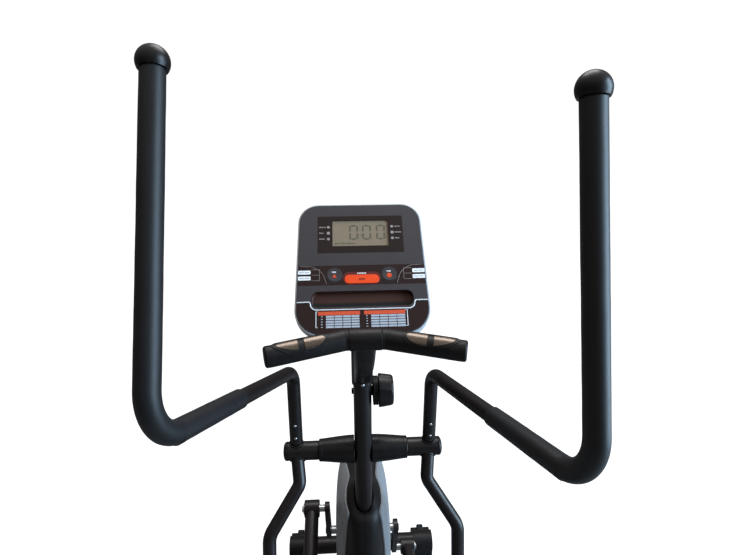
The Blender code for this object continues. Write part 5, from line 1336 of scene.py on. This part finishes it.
# %% Pedals
half_length, half_width = 0.180, 0.070
tray = plate("tray", (-half_width, -half_length, -0.006), (half_width, half_length, 0.022), 0.030, 10)
inner_width, inner_length = half_width - 0.005, half_length - 0.005
inner = plate("inner", (-inner_width, -inner_length, 0.0), (inner_width, inner_length, 0.05), 0.025, 10)
softened(inner, 0.003, 3, 60.0)
combined(tray, inner, "DIFFERENCE")
shallow = plate("shallow", (-0.2, -0.4, 0.0), (0.2, 0.4, 0.2))
slope = math.atan2(0.012, 2 * half_length)
combined(tray, placed(shallow, Matrix.Translation((0.0, half_length, 0.0222)) @ Matrix.Rotation(slope, 4, "X")
                      @ Matrix.Translation((0.0, -half_length, 0.0))), "DIFFERENCE")
softened(tray, 0.0012, 3, 50.0)
rib_marks = [(0.0, -0.143 + 0.013 * k, 0.108 if 1 < k < 21 else 0.080, 0.0055, 0.0026) for k in range(23)]
ribs = marks("ribs", rib_marks, -0.0005, 0.0020)
softened(ribs, 0.0009, 2, 60.0)
united(tray, ribs)
for x, y in ((-0.040, -0.110), (0.040, -0.110), (-0.040, 0.110), (0.040, 0.110)):
    combined(tray, rod("sink", 0.0006, 0.02, 0.0065, (x, y, 0.0)), "DIFFERENCE")
for word, side in SIDES.items():
    place = (link_places[word] @ Matrix.Translation((side * 0.150, 0.0, 0.0))
             @ Matrix.Rotation(-tail_lean, 4, "X")
             @ Matrix.Translation((0.0, -0.210, 0.0264)))
    bpy.ops.object.select_all(action="DESELECT")
    tray.select_set(True)
    bpy.context.view_layer.objects.active = tray
    bpy.ops.object.duplicate()
    pedal = bpy.context.object
    pedal.name = "pedal_tray_" + word
    dressed(placed(pedal, place), "foot_link_" + word, pedal_moulding, ["pedal_" + word])
    heads = [screw_head("head", place @ Matrix.Translation((x, y, 0.0006)), 0.0056)
             for x, y in ((-0.040, -0.110), (0.040, -0.110), (-0.040, 0.110), (0.040, 0.110))]
    dressed(joined("pedal_screws_" + word, heads), "foot_link_" + word, zinc_steel)
bpy.data.objects.remove(tray, do_unlink=True)

# %% [markdown]
# ## Floor frame
# The beam, socket, mast and fork are one weldment. Its shape is right in the solid, so a merged copy
# has its edges broken, as sawn and welded tube has. The stabilisers are turned tubes with moulded
# feet, and the front feet carry the transport wheels.

# %% Beam, stabilisers and their bolts
beam = softened(solid_copy("main_frame", "floor_frame"), 0.0022, 2, 50.0)
dressed(beam, "frame", powder_coat, ["main_frame"])
for end in ("front", "rear"):
    node = end + "_stabiliser"
    rings = [(-0.235, 0.028), (-0.235, 0.0296), (-0.2346, 0.030),
             (0.2346, 0.030), (0.235, 0.0296), (0.235, 0.028)]
    tube = turned(end + "_cross_tube", rings, middle(node), "X", sides=64)
    dressed(tube, "frame", powder_coat, [node])
heads = []
for node in ("front_stabiliser", "rear_stabiliser"):
    for side in (-1.0, 1.0):
        spot = Vector((side * 0.018, middle(node).y, 0.1505))
        washer = rod("washer", 0.0, 0.0014, 0.0100, spot)
        nut_rings = [(0.0014, 0.0), (0.0014, 0.0072), (0.0064, 0.0072), (0.0070, 0.0064), (0.0070, 0.0)]
        nut = turned("nut", nut_rings, spot, sides=6)
        heads += [washer, nut]
dressed(joined("stabiliser_nuts", heads), "frame", zinc_steel)

# %% Feet and wheels
for end, height in (("front", 0.0012), ("rear", 0.0016)):
    for word in SIDES:
        node = end + "_foot_" + word
        foot = softened(solid_copy(node, node.replace("foot", "end_foot")), height, 2, 40.0)
        dressed(foot, "frame", black_moulding, [node], smooth=40)
wheel_rings = [(-0.0110, 0.0056), (-0.0110, 0.0100), (-0.0085, 0.0110), (-0.0085, 0.0205), (-0.0110, 0.0215),
               (-0.0110, 0.0262), (-0.0100, 0.0274), (-0.0085, 0.0280), (-0.0012, 0.0280), (-0.0006, 0.0272),
               (0.0006, 0.0272), (0.0012, 0.0280), (0.0085, 0.0280), (0.0100, 0.0274), (0.0110, 0.0262),
               (0.0110, 0.0215), (0.0085, 0.0205), (0.0085, 0.0110), (0.0110, 0.0100), (0.0110, 0.0056)]
for word in SIDES:
    wheel = turned("wheel_" + word, wheel_rings, middle("transport_wheel_" + word), "X", sides=64)
    for k in range(6):
        angle = math.tau * k / 6
        spoke_gap = turned("gap", [(-0.02, 0.0), (-0.02, 0.0036), (0.02, 0.0036), (0.02, 0.0)],
                           middle("transport_wheel_" + word) + Vector((0.0, 0.0155 * math.cos(angle),
                                                                       0.0155 * math.sin(angle))), "X", sides=20)
        combined(wheel, spoke_gap, "DIFFERENCE")
    dressed(wheel, "wheel_" + word, rubber, ["transport_wheel_" + word])

# %% [markdown]
# ## Finishes of the pieces that stay as they are
# The drive is hidden by the shroud. Its solids are right already, so each one keeps its mesh and only
# gets its real finish: turned steel, cast iron, moulded plastic or rubber.

# %% Materials on the nodes that stay
kept_finishes = {
    "pivot_axle": turned_steel, "pulse_bar": powder_coat, "crank_axle": turned_steel,
    "flywheel_axle": turned_steel, "flywheel": cast_iron, "magnet_brake": zinc_steel,
    "crank_pulley": black_moulding, "drive_belt": belt_rubber,
    "brake_cable": rubber, "pivot_bush_left": bush_plastic, "pivot_bush_right": bush_plastic,
}
for node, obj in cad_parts.items():
    if not obj.hide_render:
        obj.data.materials.clear()
        obj.data.materials.append(kept_finishes.get(node, black_moulding))
        print("kept", node)

# %% [markdown]
# ## Floor, light and camera
# A grey floor under a studio sky, both of which the camera sees as white. They light the machine less
# than that, so that the black parts stay black while the ground behind them is white. It is dim behind the
# camera and at floor level, and brighter overhead. One large cool panel on the right draws the soft
# blue highlight down the grips, and a small one overhead lifts the tops of the tubes.

# %% Floor and sky
bpy.ops.mesh.primitive_plane_add(size=60.0, location=(0.0, 0.0, -0.0005))
floor = named("studio_floor")
floor_finish, floor_tree, floor_shader, floor_places = new_finish("floor_finish", 0.9, specular=0.0)
floor_stops = [(0.3, (0.22, 0.22, 0.22)), (0.7, (0.25, 0.25, 0.25))]
coloured(floor_tree, floor_shader, noise(floor_tree, floor_places, 3.0), floor_stops)
floor_shader.inputs["Emission Color"].default_value = (1.0, 1.0, 1.0, 1.0)
floor_path = floor_tree.nodes.new("ShaderNodeLightPath")
floor_lift = floor_tree.nodes.new("ShaderNodeMath")
floor_lift.operation = "MULTIPLY"
floor_lift.inputs[1].default_value = 1.0
floor_tree.links.new(floor_path.outputs["Is Camera Ray"], floor_lift.inputs[0])
floor_tree.links.new(floor_lift.outputs["Value"], floor_shader.inputs["Emission Strength"])
floor.data.materials.append(floor_finish)

world = bpy.data.worlds.new("studio_sky")
bpy.context.scene.world = world
world.use_nodes = True
sky_tree = world.node_tree
sky_tree.nodes.clear()
sky_out = sky_tree.nodes.new("ShaderNodeOutputWorld")
sky_mix = sky_tree.nodes.new("ShaderNodeMixShader")
sky_path = sky_tree.nodes.new("ShaderNodeLightPath")
sky_lit = sky_tree.nodes.new("ShaderNodeBackground")
sky_seen = sky_tree.nodes.new("ShaderNodeBackground")
sky_ways = sky_tree.nodes.new("ShaderNodeTexCoord")
sky_split = sky_tree.nodes.new("ShaderNodeSeparateXYZ")
sky_ramp = sky_tree.nodes.new("ShaderNodeValToRGB")
sky_ramp.color_ramp.elements[0].position = 0.0
sky_ramp.color_ramp.elements[0].color = (0.08, 0.075, 0.075, 1.0)
sky_ramp.color_ramp.elements[1].position = 1.0
sky_ramp.color_ramp.elements[1].color = (0.80, 0.78, 0.76, 1.0)
sky_middle = sky_ramp.color_ramp.elements.new(0.40)
sky_middle.color = (0.20, 0.19, 0.19, 1.0)
sky_lit.inputs["Strength"].default_value = 1.0
sky_seen.inputs["Color"].default_value = (1.0, 1.0, 1.0, 1.0)
sky_seen.inputs["Strength"].default_value = 1.05
sky_tree.links.new(sky_ways.outputs["Generated"], sky_split.inputs["Vector"])
sky_tree.links.new(sky_split.outputs["Z"], sky_ramp.inputs["Fac"])
sky_tree.links.new(sky_ramp.outputs["Color"], sky_lit.inputs["Color"])
sky_tree.links.new(sky_path.outputs["Is Camera Ray"], sky_mix.inputs["Fac"])
sky_tree.links.new(sky_lit.outputs["Background"], sky_mix.inputs[1])
sky_tree.links.new(sky_seen.outputs["Background"], sky_mix.inputs[2])
sky_tree.links.new(sky_mix.outputs["Shader"], sky_out.inputs["Surface"])
bpy.context.scene.view_settings.view_transform = "Standard"


# %% Soft panels of light
def soft_panel(name, place, target, size, power, colour=(1.0, 1.0, 1.0)):
    """Area light that faces a point."""
    light = bpy.data.lights.new(name, "AREA")
    light.shape = "RECTANGLE"
    light.size, light.size_y = size
    light.energy = power
    light.color = colour
    lamp = bpy.data.objects.new(name, light)
    bpy.context.scene.collection.objects.link(lamp)
    lamp.location = place
    lamp.rotation_euler = (Vector(target) - Vector(place)).to_track_quat("-Z", "Y").to_euler()
    return lamp


soft_panel("panel_right", (3.0, -0.9, 1.8), (0.0, -0.3, 1.3), (1.8, 3.4), 250.0, (0.55, 0.78, 1.0))
soft_panel("panel_above", (0.3, 0.9, 3.4), (0.0, 0.0, 1.0), (1.6, 1.2), 34.0)

# %% Camera
lens = bpy.data.cameras.new("studio_camera")
lens.lens = 24.96
lens.sensor_width = 36.0
camera = bpy.data.objects.new("studio_camera", lens)
bpy.context.scene.collection.objects.link(camera)
camera.location = pivot + Vector((-0.0294, -1.1012, 0.8078))
aim = Matrix.Rotation(math.radians(-3.19), 3, "Z") @ Matrix.Rotation(math.radians(90.0 - 18.09), 3, "X")
camera.rotation_euler = (aim @ Matrix.Rotation(math.radians(-0.30), 3, "Z")).to_euler()
bpy.context.scene.camera = camera
